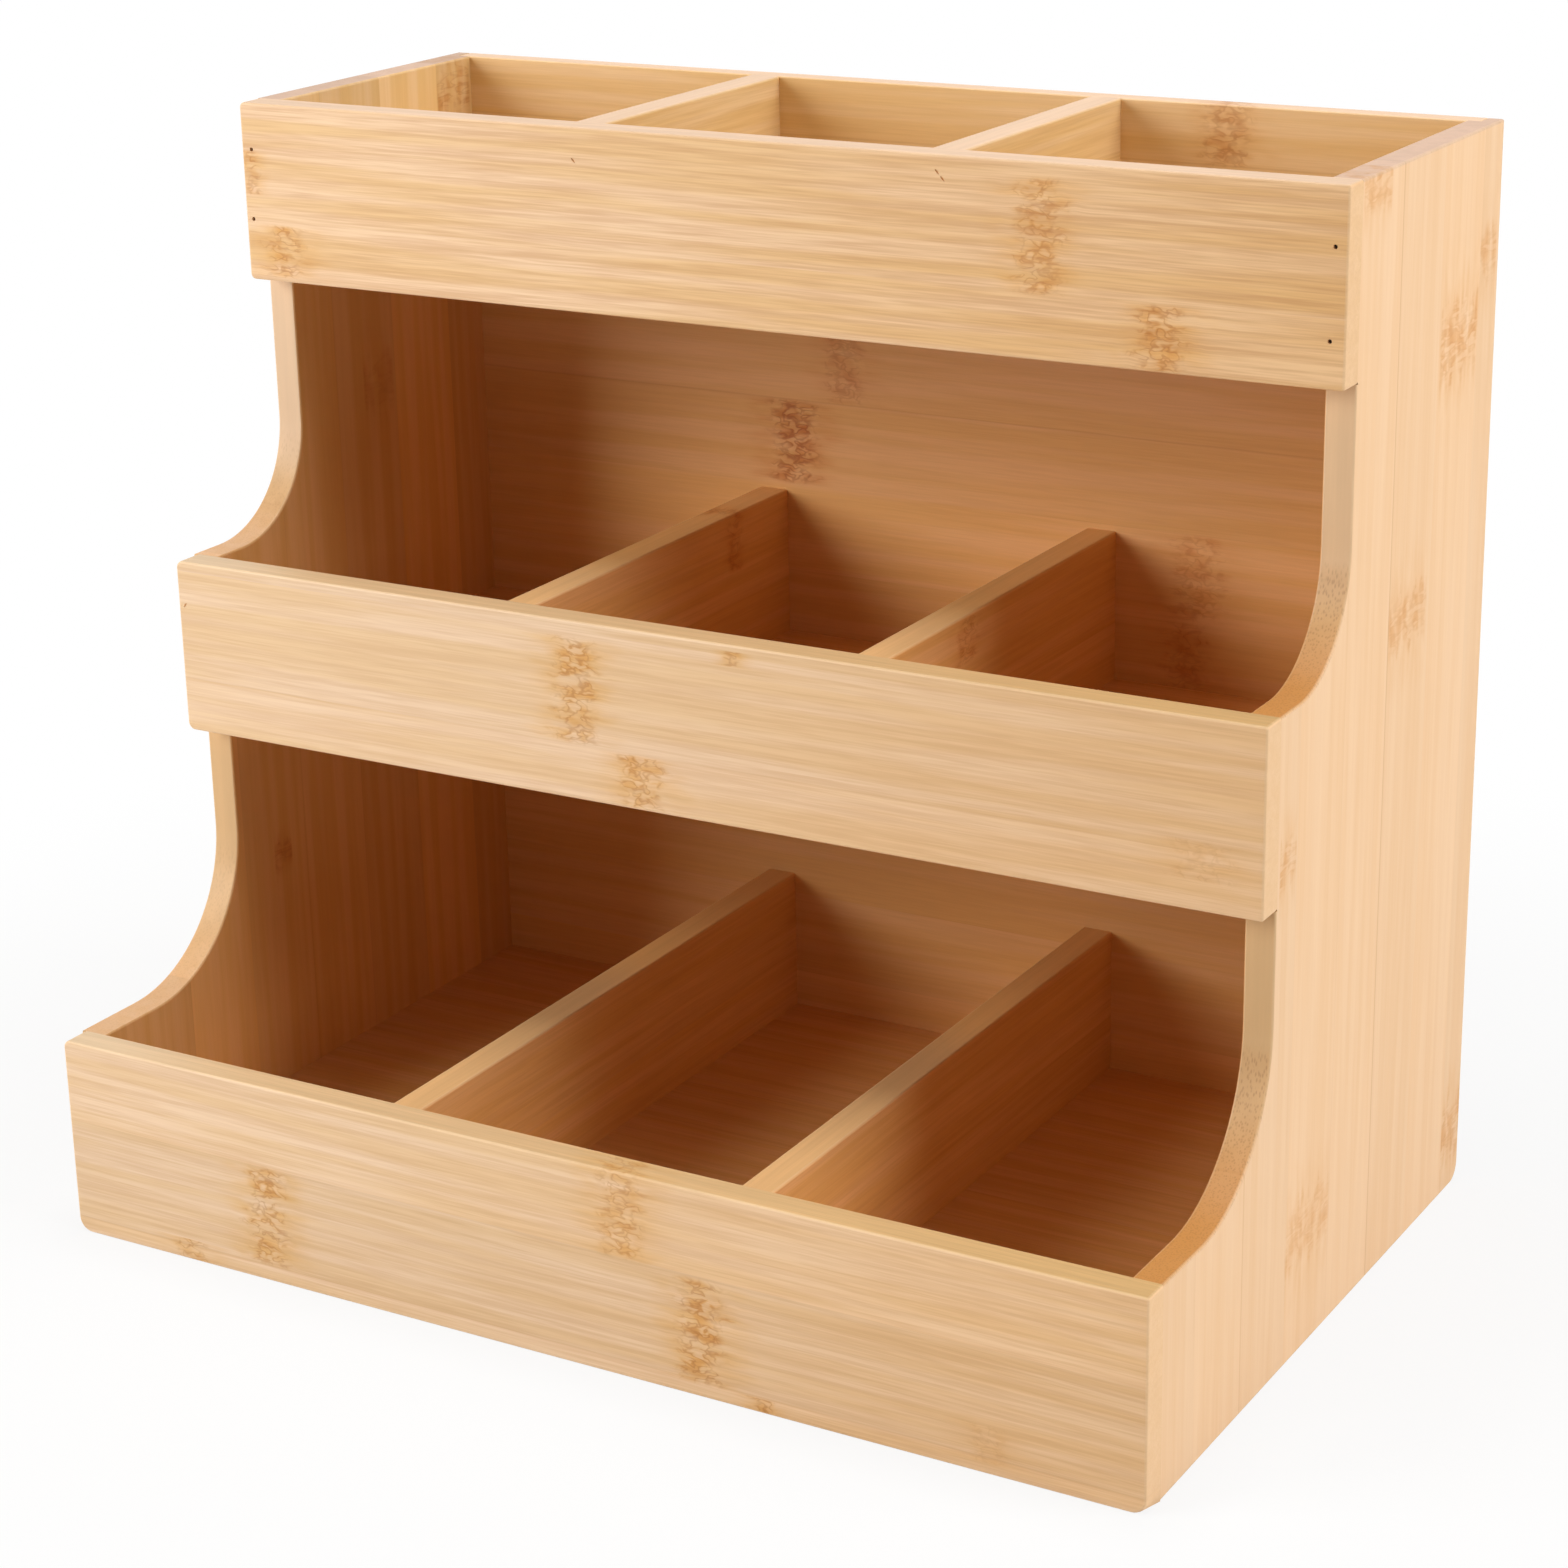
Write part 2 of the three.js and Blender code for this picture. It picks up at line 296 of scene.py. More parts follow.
# %% Group: bamboo_fibres, its colour
LOW_NOISE = 0.34
HIGH_NOISE = 0.66
PALEST_STRIP = 1.03
HALF_STRIP = 0.5
GLUE_FADE = (0.016, 0.004)
GLUE_RARITY = 2.0

darkness = fade(bamboo_fibres, fibres, HIGH_NOISE, LOW_NOISE)
darkness = calculate(bamboo_fibres, "MULTIPLY", darkness, given["Boldness"])
warmth = fade(bamboo_fibres, broad_bands, LOW_NOISE, HIGH_NOISE)
colour = mix(bamboo_fibres, warmth, given["Pale"], given["Golden"])
colour = mix(bamboo_fibres, darkness, colour, given["Deep"])
strip_tone = rescale(bamboo_fibres, strip_luck, given["Darkest Strip"], PALEST_STRIP)
grey_tone = bamboo_fibres.nodes.new("ShaderNodeCombineColor")
for channel in grey_tone.inputs:
    feed(bamboo_fibres, channel, strip_tone)
colour = mix(bamboo_fibres, 1.0, colour, grey_tone.outputs["Color"], "MULTIPLY")
glue_edge = calculate(bamboo_fibres, "PINGPONG", strip_place, HALF_STRIP)
glue_number = calculate(bamboo_fibres, "ADD", calculate(bamboo_fibres, "ROUND", strip_place), HALF_STRIP)
glue_luck = roll_dice(bamboo_fibres, glue_number, given["Seed"])
glue_luck = calculate(bamboo_fibres, "POWER", glue_luck, GLUE_RARITY)
glue_line = calculate(bamboo_fibres, "MULTIPLY", fade(bamboo_fibres, glue_edge, *GLUE_FADE), glue_luck)
glue_line = calculate(bamboo_fibres, "MULTIPLY", glue_line, given["Glue"])
colour = mix(bamboo_fibres, glue_line, colour, given["Deep"])
feed(bamboo_fibres, result["Color"], colour)
feed(bamboo_fibres, result["Fibres"], fibres)
print("bamboo_fibres has", len(bamboo_fibres.nodes), "nodes")

# %% [markdown]
# ## Knuckles
#
# Every bamboo cane has knuckles, where the stem was closed off. In a board each one leaves a short amber
# band across a single strip, full of wavy, crinkled fibres. They are what makes the material look like
# bamboo and not like pale oak. A texture could scatter them at random, but on this object they sit at places
# that can be seen, so one small group makes one band at a given place and passes on the bands before it. A
# second group turns the finished mask into colour and relief: it tints the board's own colour by multiplying
# it, so that the fibres still show through.

# %% Group: bamboo_knuckle, one band on one strip
WOBBLE = 3.0
STRIP_FADE = (1.08, 0.9)
HALO_FADE = (3.6, 0.2)
CORE_FADE = (1.6, 0.4)

knuckle_inputs = {
    "Along": VALUE, "Across": VALUE, "Ragged": VALUE, "Place Along": VALUE, "Place Across": VALUE,
    "Half Length": VALUE, "Half Width": VALUE, "Weight": VALUE, "Halo": VALUE, "Core": VALUE,
}
bamboo_knuckle, given, result = new_group("bamboo_knuckle", knuckle_inputs, {"Halo": VALUE, "Core": VALUE})
off_centre = calculate(bamboo_knuckle, "SUBTRACT", given["Along"], given["Place Along"])
off_centre = calculate(bamboo_knuckle, "DIVIDE", off_centre, given["Half Length"])
off_centre = calculate(bamboo_knuckle, "ADD", off_centre, swing(bamboo_knuckle, given["Ragged"], WOBBLE))
off_centre = calculate(bamboo_knuckle, "ABSOLUTE", off_centre)
off_strip = calculate(bamboo_knuckle, "SUBTRACT", given["Across"], given["Place Across"])
off_strip = calculate(bamboo_knuckle, "ABSOLUTE", off_strip)
off_strip = calculate(bamboo_knuckle, "DIVIDE", off_strip, given["Half Width"])
on_strip = fade(bamboo_knuckle, off_strip, *STRIP_FADE)
on_strip = calculate(bamboo_knuckle, "MULTIPLY", on_strip, given["Weight"])
halo = calculate(bamboo_knuckle, "MULTIPLY", fade(bamboo_knuckle, off_centre, *HALO_FADE), on_strip)
core = calculate(bamboo_knuckle, "MULTIPLY", fade(bamboo_knuckle, off_centre, *CORE_FADE), on_strip)
feed(bamboo_knuckle, result["Halo"], calculate(bamboo_knuckle, "MAXIMUM", halo, given["Halo"]))
feed(bamboo_knuckle, result["Core"], calculate(bamboo_knuckle, "MAXIMUM", core, given["Core"]))
print("bamboo_knuckle has", len(bamboo_knuckle.nodes), "nodes")

# %% Group: knuckle_marks, the mask as colour and relief
WRINKLE_BEND = 0.5
LINE_LEVEL = 0.48
LINE_REACH = (0.06, 0.16)
LINE_CORE = 0.0
RIDGE_FADE = (0.52, 0.64)
RIDGE_CLEARING = 0.6
BLOTCH = (6 * MM, 3.5 * MM)
BLOTCH_FADE = (0.34, 0.64)
FEATHER = (11 * MM, 4 * MM)
FEATHER_FADE = (0.25, 0.65)

mark_inputs = {
    "Color": COLOUR, "Along": VALUE, "Across": VALUE, "Through": VALUE, "Halo": VALUE, "Core": VALUE,
    "Strength": VALUE, "Crinkle": VALUE, "Wrinkle Length": VALUE, "Wrinkle Width": VALUE,
    "Amber": COLOUR, "Brown": COLOUR, "Dark": COLOUR,
}
knuckle_marks, given, result = new_group("knuckle_marks", mark_inputs, {"Color": COLOUR, "Relief": VALUE})
plain_sides = (given["Across"], given["Through"])
wrinkles = streaks(
    knuckle_marks, given["Along"], plain_sides, shift=4.0,
    size=(given["Wrinkle Length"], given["Wrinkle Width"]), detail=1.0, bend=WRINKLE_BEND,
)
off_line = calculate(knuckle_marks, "ABSOLUTE", calculate(knuckle_marks, "SUBTRACT", wrinkles, LINE_LEVEL))
line_reach = rescale(knuckle_marks, given["Crinkle"], *LINE_REACH)
lines = fade(knuckle_marks, off_line, line_reach, LINE_CORE)
lines = calculate(knuckle_marks, "MULTIPLY", lines, given["Core"])
lines = calculate(knuckle_marks, "MULTIPLY", lines, given["Strength"])
ridges = fade(knuckle_marks, wrinkles, *RIDGE_FADE)
ridges = calculate(knuckle_marks, "MULTIPLY", ridges, given["Core"])
blotches = streaks(knuckle_marks, given["Along"], plain_sides, shift=7.0, size=BLOTCH, detail=1.0)
blotches = fade(knuckle_marks, blotches, *BLOTCH_FADE)
blotches = calculate(knuckle_marks, "MULTIPLY", blotches, given["Core"])
feathers = streaks(knuckle_marks, given["Along"], plain_sides, shift=2.0, size=FEATHER, detail=1.0)
feathers = fade(knuckle_marks, feathers, *FEATHER_FADE)
feathers = calculate(knuckle_marks, "MULTIPLY", feathers, given["Halo"])
colour = mix(knuckle_marks, feathers, given["Color"], given["Amber"], "MULTIPLY")
colour = mix(knuckle_marks, blotches, colour, given["Brown"], "MULTIPLY")
colour = mix(knuckle_marks, lines, colour, given["Dark"], "MULTIPLY")
cleared = calculate(knuckle_marks, "MULTIPLY", ridges, RIDGE_CLEARING)
feed(knuckle_marks, result["Color"], mix(knuckle_marks, cleared, colour, given["Color"]))
raised = calculate(knuckle_marks, "MULTIPLY", ridges, given["Strength"])
feed(knuckle_marks, result["Relief"], calculate(knuckle_marks, "SUBTRACT", lines, raised))
print("knuckle_marks has", len(knuckle_marks.nodes), "nodes")

# %% [markdown]
# ## End grain, and sanded edges with a painted highlight
#
# Where a board is cut across its grain, as on the scallops and the rails' ends, the fibres are seen end on:
# a darker ground with fine round pores. The surface's own direction tells how much of it is end grain, so
# the pores fade in along the curve by themselves. The eased edges are sanded last and come out a shade
# paler, and that paler tone is also a painted highlight where the light catches the edges. A second
# material on those faces would leave hard borders, so both effects are groups that treat the colour.

# %% Group: end_grain
PORE_SPACING = 0.6 * MM
PORE_STRETCH = 4
PORE_FADE = (0.55, 0.1)
PORE_CONTRAST = 0.4
FIRST_ENDS = (0.08, 0.25)
FIRST_SHARE = 0.25
FULL_ENDS = (0.38, 1.0)

end_inputs = {
    "Color": COLOUR, "Along": VALUE, "Across": VALUE, "Through": VALUE, "Facing": VALUE, "Share": VALUE,
    "Ground": COLOUR, "Pore": COLOUR,
}
end_grain, given, result = new_group("end_grain", end_inputs, {"Color": COLOUR, "Pores": VALUE})
first_ends = fade(end_grain, given["Facing"], *FIRST_ENDS)
full_ends = fade(end_grain, given["Facing"], *FULL_ENDS)
end_share = calculate(end_grain, "MULTIPLY", first_ends, FIRST_SHARE)
end_share = calculate(end_grain, "MULTIPLY_ADD", full_ends, 1 - FIRST_SHARE, end_share)
end_share = calculate(end_grain, "MULTIPLY", end_share, given["Share"])
pore_cells = end_grain.nodes.new("ShaderNodeTexVoronoi")
pore_cells.inputs["Scale"].default_value = 1.0
pore_place = [calculate(end_grain, "DIVIDE", given[side], PORE_SPACING) for side in ("Across", "Through")]
slow_along = calculate(end_grain, "DIVIDE", given["Along"], PORE_STRETCH * PORE_SPACING)
feed(end_grain, pore_cells.inputs["Vector"], place(end_grain, slow_along, *pore_place))
pores = fade(end_grain, pore_cells.outputs["Distance"], *PORE_FADE)
pores = calculate(end_grain, "MULTIPLY", pores, first_ends)
pores = calculate(end_grain, "MULTIPLY", pores, given["Share"])
colour = mix(end_grain, end_share, given["Color"], given["Ground"])
colour = mix(end_grain, calculate(end_grain, "MULTIPLY", pores, PORE_CONTRAST), colour, given["Pore"])
feed(end_grain, result["Color"], colour)
feed(end_grain, result["Pores"], pores)
print("end_grain has", len(end_grain.nodes), "nodes")

# %% Group: sanded_edge_and_highlight, paler eased edges that are partly sanding and partly a painted highlight
SANDED_AND_HIGHLIGHT_SHARE = 0.15

edge_inputs = {"Color": COLOUR, "Edge": VALUE, "Sanded And Highlight": COLOUR}
sanded_edge_and_highlight, given, result = new_group("sanded_edge_and_highlight", edge_inputs, {"Color": COLOUR})
paler = calculate(sanded_edge_and_highlight, "MULTIPLY", given["Edge"], SANDED_AND_HIGHLIGHT_SHARE)
feed(sanded_edge_and_highlight, result["Color"], mix(sanded_edge_and_highlight, paler, given["Color"], given["Sanded And Highlight"]))
print("sanded_edge_and_highlight has", len(sanded_edge_and_highlight.nodes), "nodes")

# %% [markdown]
# ## The tones of the boards
#
# The boards' tones carry painted light and shade: the inside is deeper than the outside as painted shade,
# the rails are deeper towards their right ends as painted shade, away from the light on the left, and edges
# differ from faces, paler where light falls from above and deeper where they lie in shade under the tiers.
# A material for each zone would leave hard borders.
# So each board has a few sets of tones, and they are mixed by the place on the board and by the way that a
# face looks. A set holds a pale, a golden and a deep tone.

# %% Sets of tones
def tones(*codes):
    """A set of tones from their colour codes."""
    return tuple(paint(code) for code in codes)


RAIL_TONES = tones("f0d0ae", "eac79b", "c99a69")
# Far tones at the rails' right ends: painted shade, away from the light on the left.
RAIL_RIGHT_SHADE_TONES = tones("ebc498", "e5ba87", "c28d57")
LOWER_RAIL_TONES = tones("eacaa8", "e4c196", "c39564")
TOP_RAIL_TONES = tones("efcba3", "e6be89", "bb8350")
# The top rail's far tones: painted shade towards its right end.
TOP_RAIL_RIGHT_SHADE_TONES = tones("eac08e", "e0b174", "b27742")
SIDE_TONES = tones("ecc69d", "e9c093", "cc9865")
# Inside the tiers the tones are painted shade, deepest under the top tier's floor.
INNER_SHADE_TONES = tones("e5af73", "dea762", "ac6f34")
TOP_INNER_SHADE_TONES = tones("e7c491", "e0b97c", "ac783e")
# Side front edges: painted shade low down under the rails, painted light higher up, paler on the left.
LOWER_FRONT_EDGE_SHADE = paint("dab17e")
LEFT_UPPER_FRONT_LIGHT = paint("ebc69f")
RIGHT_UPPER_FRONT_LIGHT = paint("e4bc90")
# The tone of edges in full light from above; lower edges are deeper as painted shade.
TOP_EDGE = paint("e7c3a1")
SIDE_TOP_EDGE = paint("cfaf98")
# Inner top edges: painted shade under the top tier's floor, painted light farther back.
SHADED_INNER_TOP_EDGE = paint("d7aa74")
FAR_INNER_TOP_EDGE_LIGHT = paint("e8b470")
# The lower two rails' top edges: painted shade under the tiers above, palest at the left end, nearest the
# light.
SHADED_RAIL_TOP_EDGES = tones("dabd97", "d3b185", "c9a46f")
TOP_RAIL_TOP_EDGES = (TOP_EDGE, TOP_EDGE, TOP_EDGE)
print("a rail's pale tone is", [round(part, 3) for part in RAIL_TONES[0]])

# %% Tones by the way that a face looks
EDGE_SHADES = (1.0, 0.93, 0.66)
UPWARD = (0.5, 0.9)
FORWARD = (0.3, 0.9)
SIDEWAYS = (0.3, 0.7)
TOP_EDGE_DEPTH = 1 * MM


def mix_tones(tree, amount, first, second):
    """Two sets of tones mixed by an amount."""
    return [mix(tree, amount, one, other) for one, other in zip(first, second)]


def edge_tones(tone):
    """A set of tones for an edge: the tone itself, a shade deeper, and darker fibres."""
    return [[part * share for part in tone[:3]] + [1.0] for share in EDGE_SHADES]


def looking_up(tree, normal):
    """1 on faces that look up."""
    return fade(tree, normal["Z"], *UPWARD)


def at_top_edge(tree, height):
    """1 on the very top of the object, whose edges take paler tones and less end grain than those lower down:
    painted light from above.
    """
    return fade(tree, height, whole_high.z - TOP_EDGE_DEPTH, whole_high.z)


print("edges come in", len(EDGE_SHADES), "shades")

# %% Tones of the rails
RAIL_TOP_REACH = 55 * MM


def rail_tones(tree, spot, normal, near, right_shade, top_edges):
    """A rail grows deeper towards its right end: painted shade, as the light falls from the left. Its top
    edge has tones of its own, at its left end, in the left half and at its right end, that paint the light
    and shade on it."""
    shade_to_right = fade(tree, spot["X"], whole_low.x / 2, whole_high.x)
    face = mix_tones(tree, shade_to_right, near, right_shade)
    left_end, left_half, right_end = (edge_tones(tone) for tone in top_edges)
    rest = mix_tones(tree, shade_to_right, left_half, right_end)
    past_end = fade(tree, spot["X"], whole_low.x, whole_low.x + RAIL_TOP_REACH)
    edge = mix_tones(tree, past_end, left_end, rest)
    return mix_tones(tree, looking_up(tree, normal), face, edge)


print("a rail's left end has its own top edge for", RAIL_TOP_REACH / MM, "mm")

# %% Tones of the inner boards and the sides
FAR_EDGE_LIGHT_REACH = (-10 * MM, 25 * MM)
MIDDLE_SCALLOP = 30 * MM
UPPER_FRONT_START = 0.3


def in_top_tier(tree, spot):
    """1 above the top tier's floor, 0 below it."""
    top_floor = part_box("top_floor")
    return fade(tree, spot["Z"], top_floor[0].z, top_floor[1].z)


def inner_shade_tones(tree, spot, normal):
    """Inside, the tones are painted shade: deeper under the top tier's floor than in the open top tier, where
    more light falls. The normal isn't needed here, but every toning is called in the same way."""
    return mix_tones(tree, in_top_tier(tree, spot), INNER_SHADE_TONES, TOP_INNER_SHADE_TONES)


def divider_tones(tree, spot, normal):
    """A divider takes the inner boards' painted shade. Its top edge is painted shade under the top tier's
    floor, paler painted light farther back, and the top edges' lit tone in the top tier.
    """
    farther = fade(tree, spot["Y"], *FAR_EDGE_LIGHT_REACH)
    lower_edge = mix_tones(tree, farther, edge_tones(SHADED_INNER_TOP_EDGE), edge_tones(FAR_INNER_TOP_EDGE_LIGHT))
    edge = mix_tones(tree, in_top_tier(tree, spot), lower_edge, edge_tones(TOP_EDGE))
    return mix_tones(tree, looking_up(tree, normal), inner_shade_tones(tree, spot, normal), edge)


def back_tones(tree, spot, normal):
    """The back is toned like a divider in front, and like the outside of the sides behind."""
    looking_back = fade(tree, normal["Y"], *SIDEWAYS)
    return mix_tones(tree, looking_back, divider_tones(tree, spot, normal), SIDE_TONES)


def side_tones(tree, spot, normal, inside, upper_front_light):
    """A side is pale outside. Its front edge is darker: painted shade low down, under the rails, and paler
    painted light higher up. Inside it takes the inner boards' painted shade. The sign inside is the X
    direction that its inner face looks in."""
    looking_out = fade(tree, calculate(tree, "MULTIPLY", normal["Y"], -1.0), *FORWARD)
    looking_in = fade(tree, calculate(tree, "MULTIPLY", normal["X"], inside), *SIDEWAYS)
    scallop_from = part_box("middle_front_rail")[1].z
    upper_from = scallop_from + MIDDLE_SCALLOP * UPPER_FRONT_START
    upper = fade(tree, spot["Z"], upper_from, scallop_from + MIDDLE_SCALLOP)
    front = mix_tones(tree, upper, edge_tones(LOWER_FRONT_EDGE_SHADE), edge_tones(upper_front_light))
    outer = mix_tones(tree, looking_out, SIDE_TONES, front)
    outer = mix_tones(tree, at_top_edge(tree, spot["Z"]), outer, edge_tones(SIDE_TOP_EDGE))
    return mix_tones(tree, looking_in, outer, inner_shade_tones(tree, spot, normal))


print("the middle scallop's radius in millimetres:", MIDDLE_SCALLOP / MM)

# %% [markdown]
# ## One bamboo for each board
#
# All boards share the groups above, but no two boards are cut from the same strips. So each gets a material
# of its own, with its own seed, strips and knuckles. The grain's direction is a choice of axes: along the
# rails, up the sides, and from front to back on the dividers. The varnish is a thin satin coat, so the
# roughness is fairly high and follows the fibres a little. The fibres' relief is far too fine to model, and a
# Bump node gives it.

# %% Knuckles and relief of a board
RAGGED_WAVE = (12 * MM, 2.2 * MM)
FIBRE_RELIEF = 0.05 * MM
RELIEF_STRENGTH = 0.6
HOLLOW_DEPTH = 2.0
PORE_DEPTH = 0.2


def knuckle_masks(tree, lengths, seed, knuckles):
    """The halo and the core of all of a board's knuckles. A knuckle is its place along and across the grain
    and its half length and half width, all in millimetres, and its weight from 0 to 1."""
    sides = (lengths["Across"], lengths["Through"])
    ragged = streaks(tree, lengths["Along"], sides, float(seed), RAGGED_WAVE, detail=3.0)
    halo, core = 0.0, 0.0
    for place_along, place_across, half_length, half_width, weight in knuckles:
        band = use_group(tree, bamboo_knuckle, {
            "Along": lengths["Along"], "Across": lengths["Across"], "Ragged": ragged, "Weight": weight,
            "Place Along": place_along * MM, "Place Across": place_across * MM,
            "Half Length": half_length * MM, "Half Width": half_width * MM, "Halo": halo, "Core": core,
        })
        halo, core = band["Halo"], band["Core"]
    return halo, core


def add_relief(tree, surface, fibres, wrinkles, pores):
    """Raised fibres, with hollow wrinkles and pores between them."""
    hollows = calculate(tree, "MAXIMUM", wrinkles, calculate(tree, "MULTIPLY", pores, PORE_DEPTH))
    hollows = calculate(tree, "MULTIPLY", hollows, HOLLOW_DEPTH)
    bump = tree.nodes.new("ShaderNodeBump")
    bump.inputs["Strength"].default_value = RELIEF_STRENGTH
    bump.inputs["Distance"].default_value = FIBRE_RELIEF
    feed(tree, bump.inputs["Height"], calculate(tree, "SUBTRACT", fibres, hollows))
    feed(tree, surface.inputs["Normal"], bump.outputs["Normal"])


print("fibres stand out by", FIBRE_RELIEF / MM, "mm")

# %% Material: one bamboo board
GRAIN_AXES = {
    "along_width": ("X", "Z", "Y"),
    "along_height": ("Z", "Y", "X"),
    "along_depth": ("Y", "Z", "X"),
    "floor": ("X", "Y", "Z"),
}
EDGE_MARK = "eased_edge"
# Eased edges: partly paler from sanding, partly a painted highlight.
SANDED_AND_HIGHLIGHT = paint("f0d3ac")
INNER_MARKS = tones("f0dcbe", "e6c8a0", "b08458")
RAIL_WRINKLE = (3.4 * MM, 1.9 * MM)
RAIL_ENDS = (paint("e8c092"), paint("e0b688"), 0.7)
# Less end grain on the sides' top edge: painted light from above.
LIT_TOP_END_SHARE = 0.15
VARNISH_ROUGHNESS = (0.6, 0.42)
VARNISH_GLOSS = 0.4


def bamboo(
    name, grain, seed, strips, toning, knuckles=(), boldness=0.4, strength=0.4, crinkle=0.3,
    marks=INNER_MARKS, wrinkle=RAIL_WRINKLE, ends=RAIL_ENDS, darkest_strip=0.95, glue=0.25, fine=0.32,
):
    """A board's own bamboo. Strips are their start and width in millimetres. Toning gives the pale, golden
    and deep tones. Marks are the amber, brown and dark tints of the knuckles, and wrinkle is the size of
    their wrinkles. Ends are the ground and the pores of the end grain, and how clearly they show."""
    material = bpy.data.materials.new(name)
    material.use_nodes = True
    tree = material.node_tree
    surface = tree.nodes["Principled BSDF"]
    where = tree.nodes.new("ShaderNodeTexCoord")
    split_place = tree.nodes.new("ShaderNodeSeparateXYZ")
    split_normal = tree.nodes.new("ShaderNodeSeparateXYZ")
    feed(tree, split_place.inputs[0], where.outputs["Object"])
    feed(tree, split_normal.inputs[0], where.outputs["Normal"])
    axes = GRAIN_AXES[grain]
    sockets = [split_place.outputs[axis] for axis in axes]
    lengths = dict(zip(("Along", "Across", "Through"), sockets))
    halo, core = knuckle_masks(tree, lengths, seed, knuckles)
    pale, golden, deep = toning(tree, split_place.outputs, split_normal.outputs)
    strip_start, strip_width = strips
    grown = use_group(tree, bamboo_fibres, {
        **lengths, "Seed": float(seed), "Strip Start": strip_start * MM, "Strip Width": strip_width * MM,
        "Darkest Strip": darkest_strip, "Glue": glue, "Ripple": halo, "Boldness": boldness,
        "Fine Share": fine, "Pale": pale, "Golden": golden, "Deep": deep,
    })
    amber, brown, dark = marks
    marked = use_group(tree, knuckle_marks, {
        **lengths, "Color": grown["Color"], "Halo": halo, "Core": core, "Strength": strength,
        "Crinkle": crinkle, "Wrinkle Length": wrinkle[0], "Wrinkle Width": wrinkle[1],
        "Amber": amber, "Brown": brown, "Dark": dark,
    })
    facing = calculate(tree, "ABSOLUTE", split_normal.outputs[axes[0]])
    end_ground, end_pore, end_share = ends
    # The sides' top edge shows less end grain: painted light from above.
    if grain == "along_height":
        end_share = rescale(tree, at_top_edge(tree, lengths["Along"]), end_share, LIT_TOP_END_SHARE)
    ended = use_group(tree, end_grain, {
        **lengths, "Color": marked["Color"], "Facing": facing, "Share": end_share, "Ground": end_ground,
        "Pore": end_pore,
    })
    # Eased edges come out paler: partly the sanding, partly a painted highlight.
    edge = tree.nodes.new("ShaderNodeAttribute")
    edge.attribute_name = EDGE_MARK
    sanded = use_group(tree, sanded_edge_and_highlight, {
        "Color": ended["Color"], "Edge": edge.outputs["Fac"], "Sanded And Highlight": SANDED_AND_HIGHLIGHT,
    })
    feed(tree, surface.inputs["Base Color"], sanded["Color"])
    feed(tree, surface.inputs["Roughness"], rescale(tree, grown["Fibres"], *VARNISH_ROUGHNESS))
    surface.inputs["Specular IOR Level"].default_value = VARNISH_GLOSS
    add_relief(tree, surface, grown["Fibres"], marked["Relief"], ended["Pores"])
    return material


print("grain can run", len(GRAIN_AXES), "ways")

# %% Bamboo for the rails
RAIL_MARKS = tones("f8e9c4", "f6e6c4", "b98a48")
TOP_RAIL_KNUCKLES = (
    (81, 275, 5, 14, 0.8), (113, 253, 5, 8, 1.0), (-147, 253, 5, 7, 0.9), (-157, 274, 2, 6, 0.9),
)
MIDDLE_RAIL_KNUCKLES = (
    (-31, 156, 5, 14, 1.0), (-12, 134, 5, 7, 0.9), (16, 171, 2, 2, 0.9), (144, 139, 6, 5, 0.35),
)
LOWER_RAIL_KNUCKLES = (
    (-94, 19, 5, 14, 1.0), (17, 45, 5, 12, 0.8), (40, 18, 5, 14, 1.0), (119, 8, 4, 5, 0.3),
    (-121, 3, 4, 3, 0.9), (57, 2, 3, 2, 0.9),
)

rail_bamboos = {
    "top": bamboo(
        "top_rail_bamboo", "along_width", seed=3, strips=(261.5, 31.2),
        toning=lambda *inputs: rail_tones(*inputs, TOP_RAIL_TONES, TOP_RAIL_RIGHT_SHADE_TONES, TOP_RAIL_TOP_EDGES),
        knuckles=TOP_RAIL_KNUCKLES, boldness=0.46, strength=0.38, marks=RAIL_MARKS,
    ),
    "middle": bamboo(
        "middle_rail_bamboo", "along_width", seed=11, strips=(141.4, 30.5),
        toning=lambda *inputs: rail_tones(*inputs, RAIL_TONES, RAIL_RIGHT_SHADE_TONES, SHADED_RAIL_TOP_EDGES),
        knuckles=MIDDLE_RAIL_KNUCKLES, boldness=0.38, strength=0.38, marks=RAIL_MARKS,
    ),
    "lower": bamboo(
        "lower_rail_bamboo", "along_width", seed=19, strips=(33.2, 28.8),
        toning=lambda *inputs: rail_tones(*inputs, LOWER_RAIL_TONES, RAIL_RIGHT_SHADE_TONES, SHADED_RAIL_TOP_EDGES),
        knuckles=LOWER_RAIL_KNUCKLES, boldness=0.42, strength=0.38, marks=RAIL_MARKS,
    ),
}
print("bamboos for the rails:", sorted(rail_bamboos))

# %% Bamboo for the back and the sides
SIDE_MARKS = tones("f8edda", "f5e4ca", "d8bc94")
SIDE_WRINKLE = (1.9 * MM, 7 * MM)
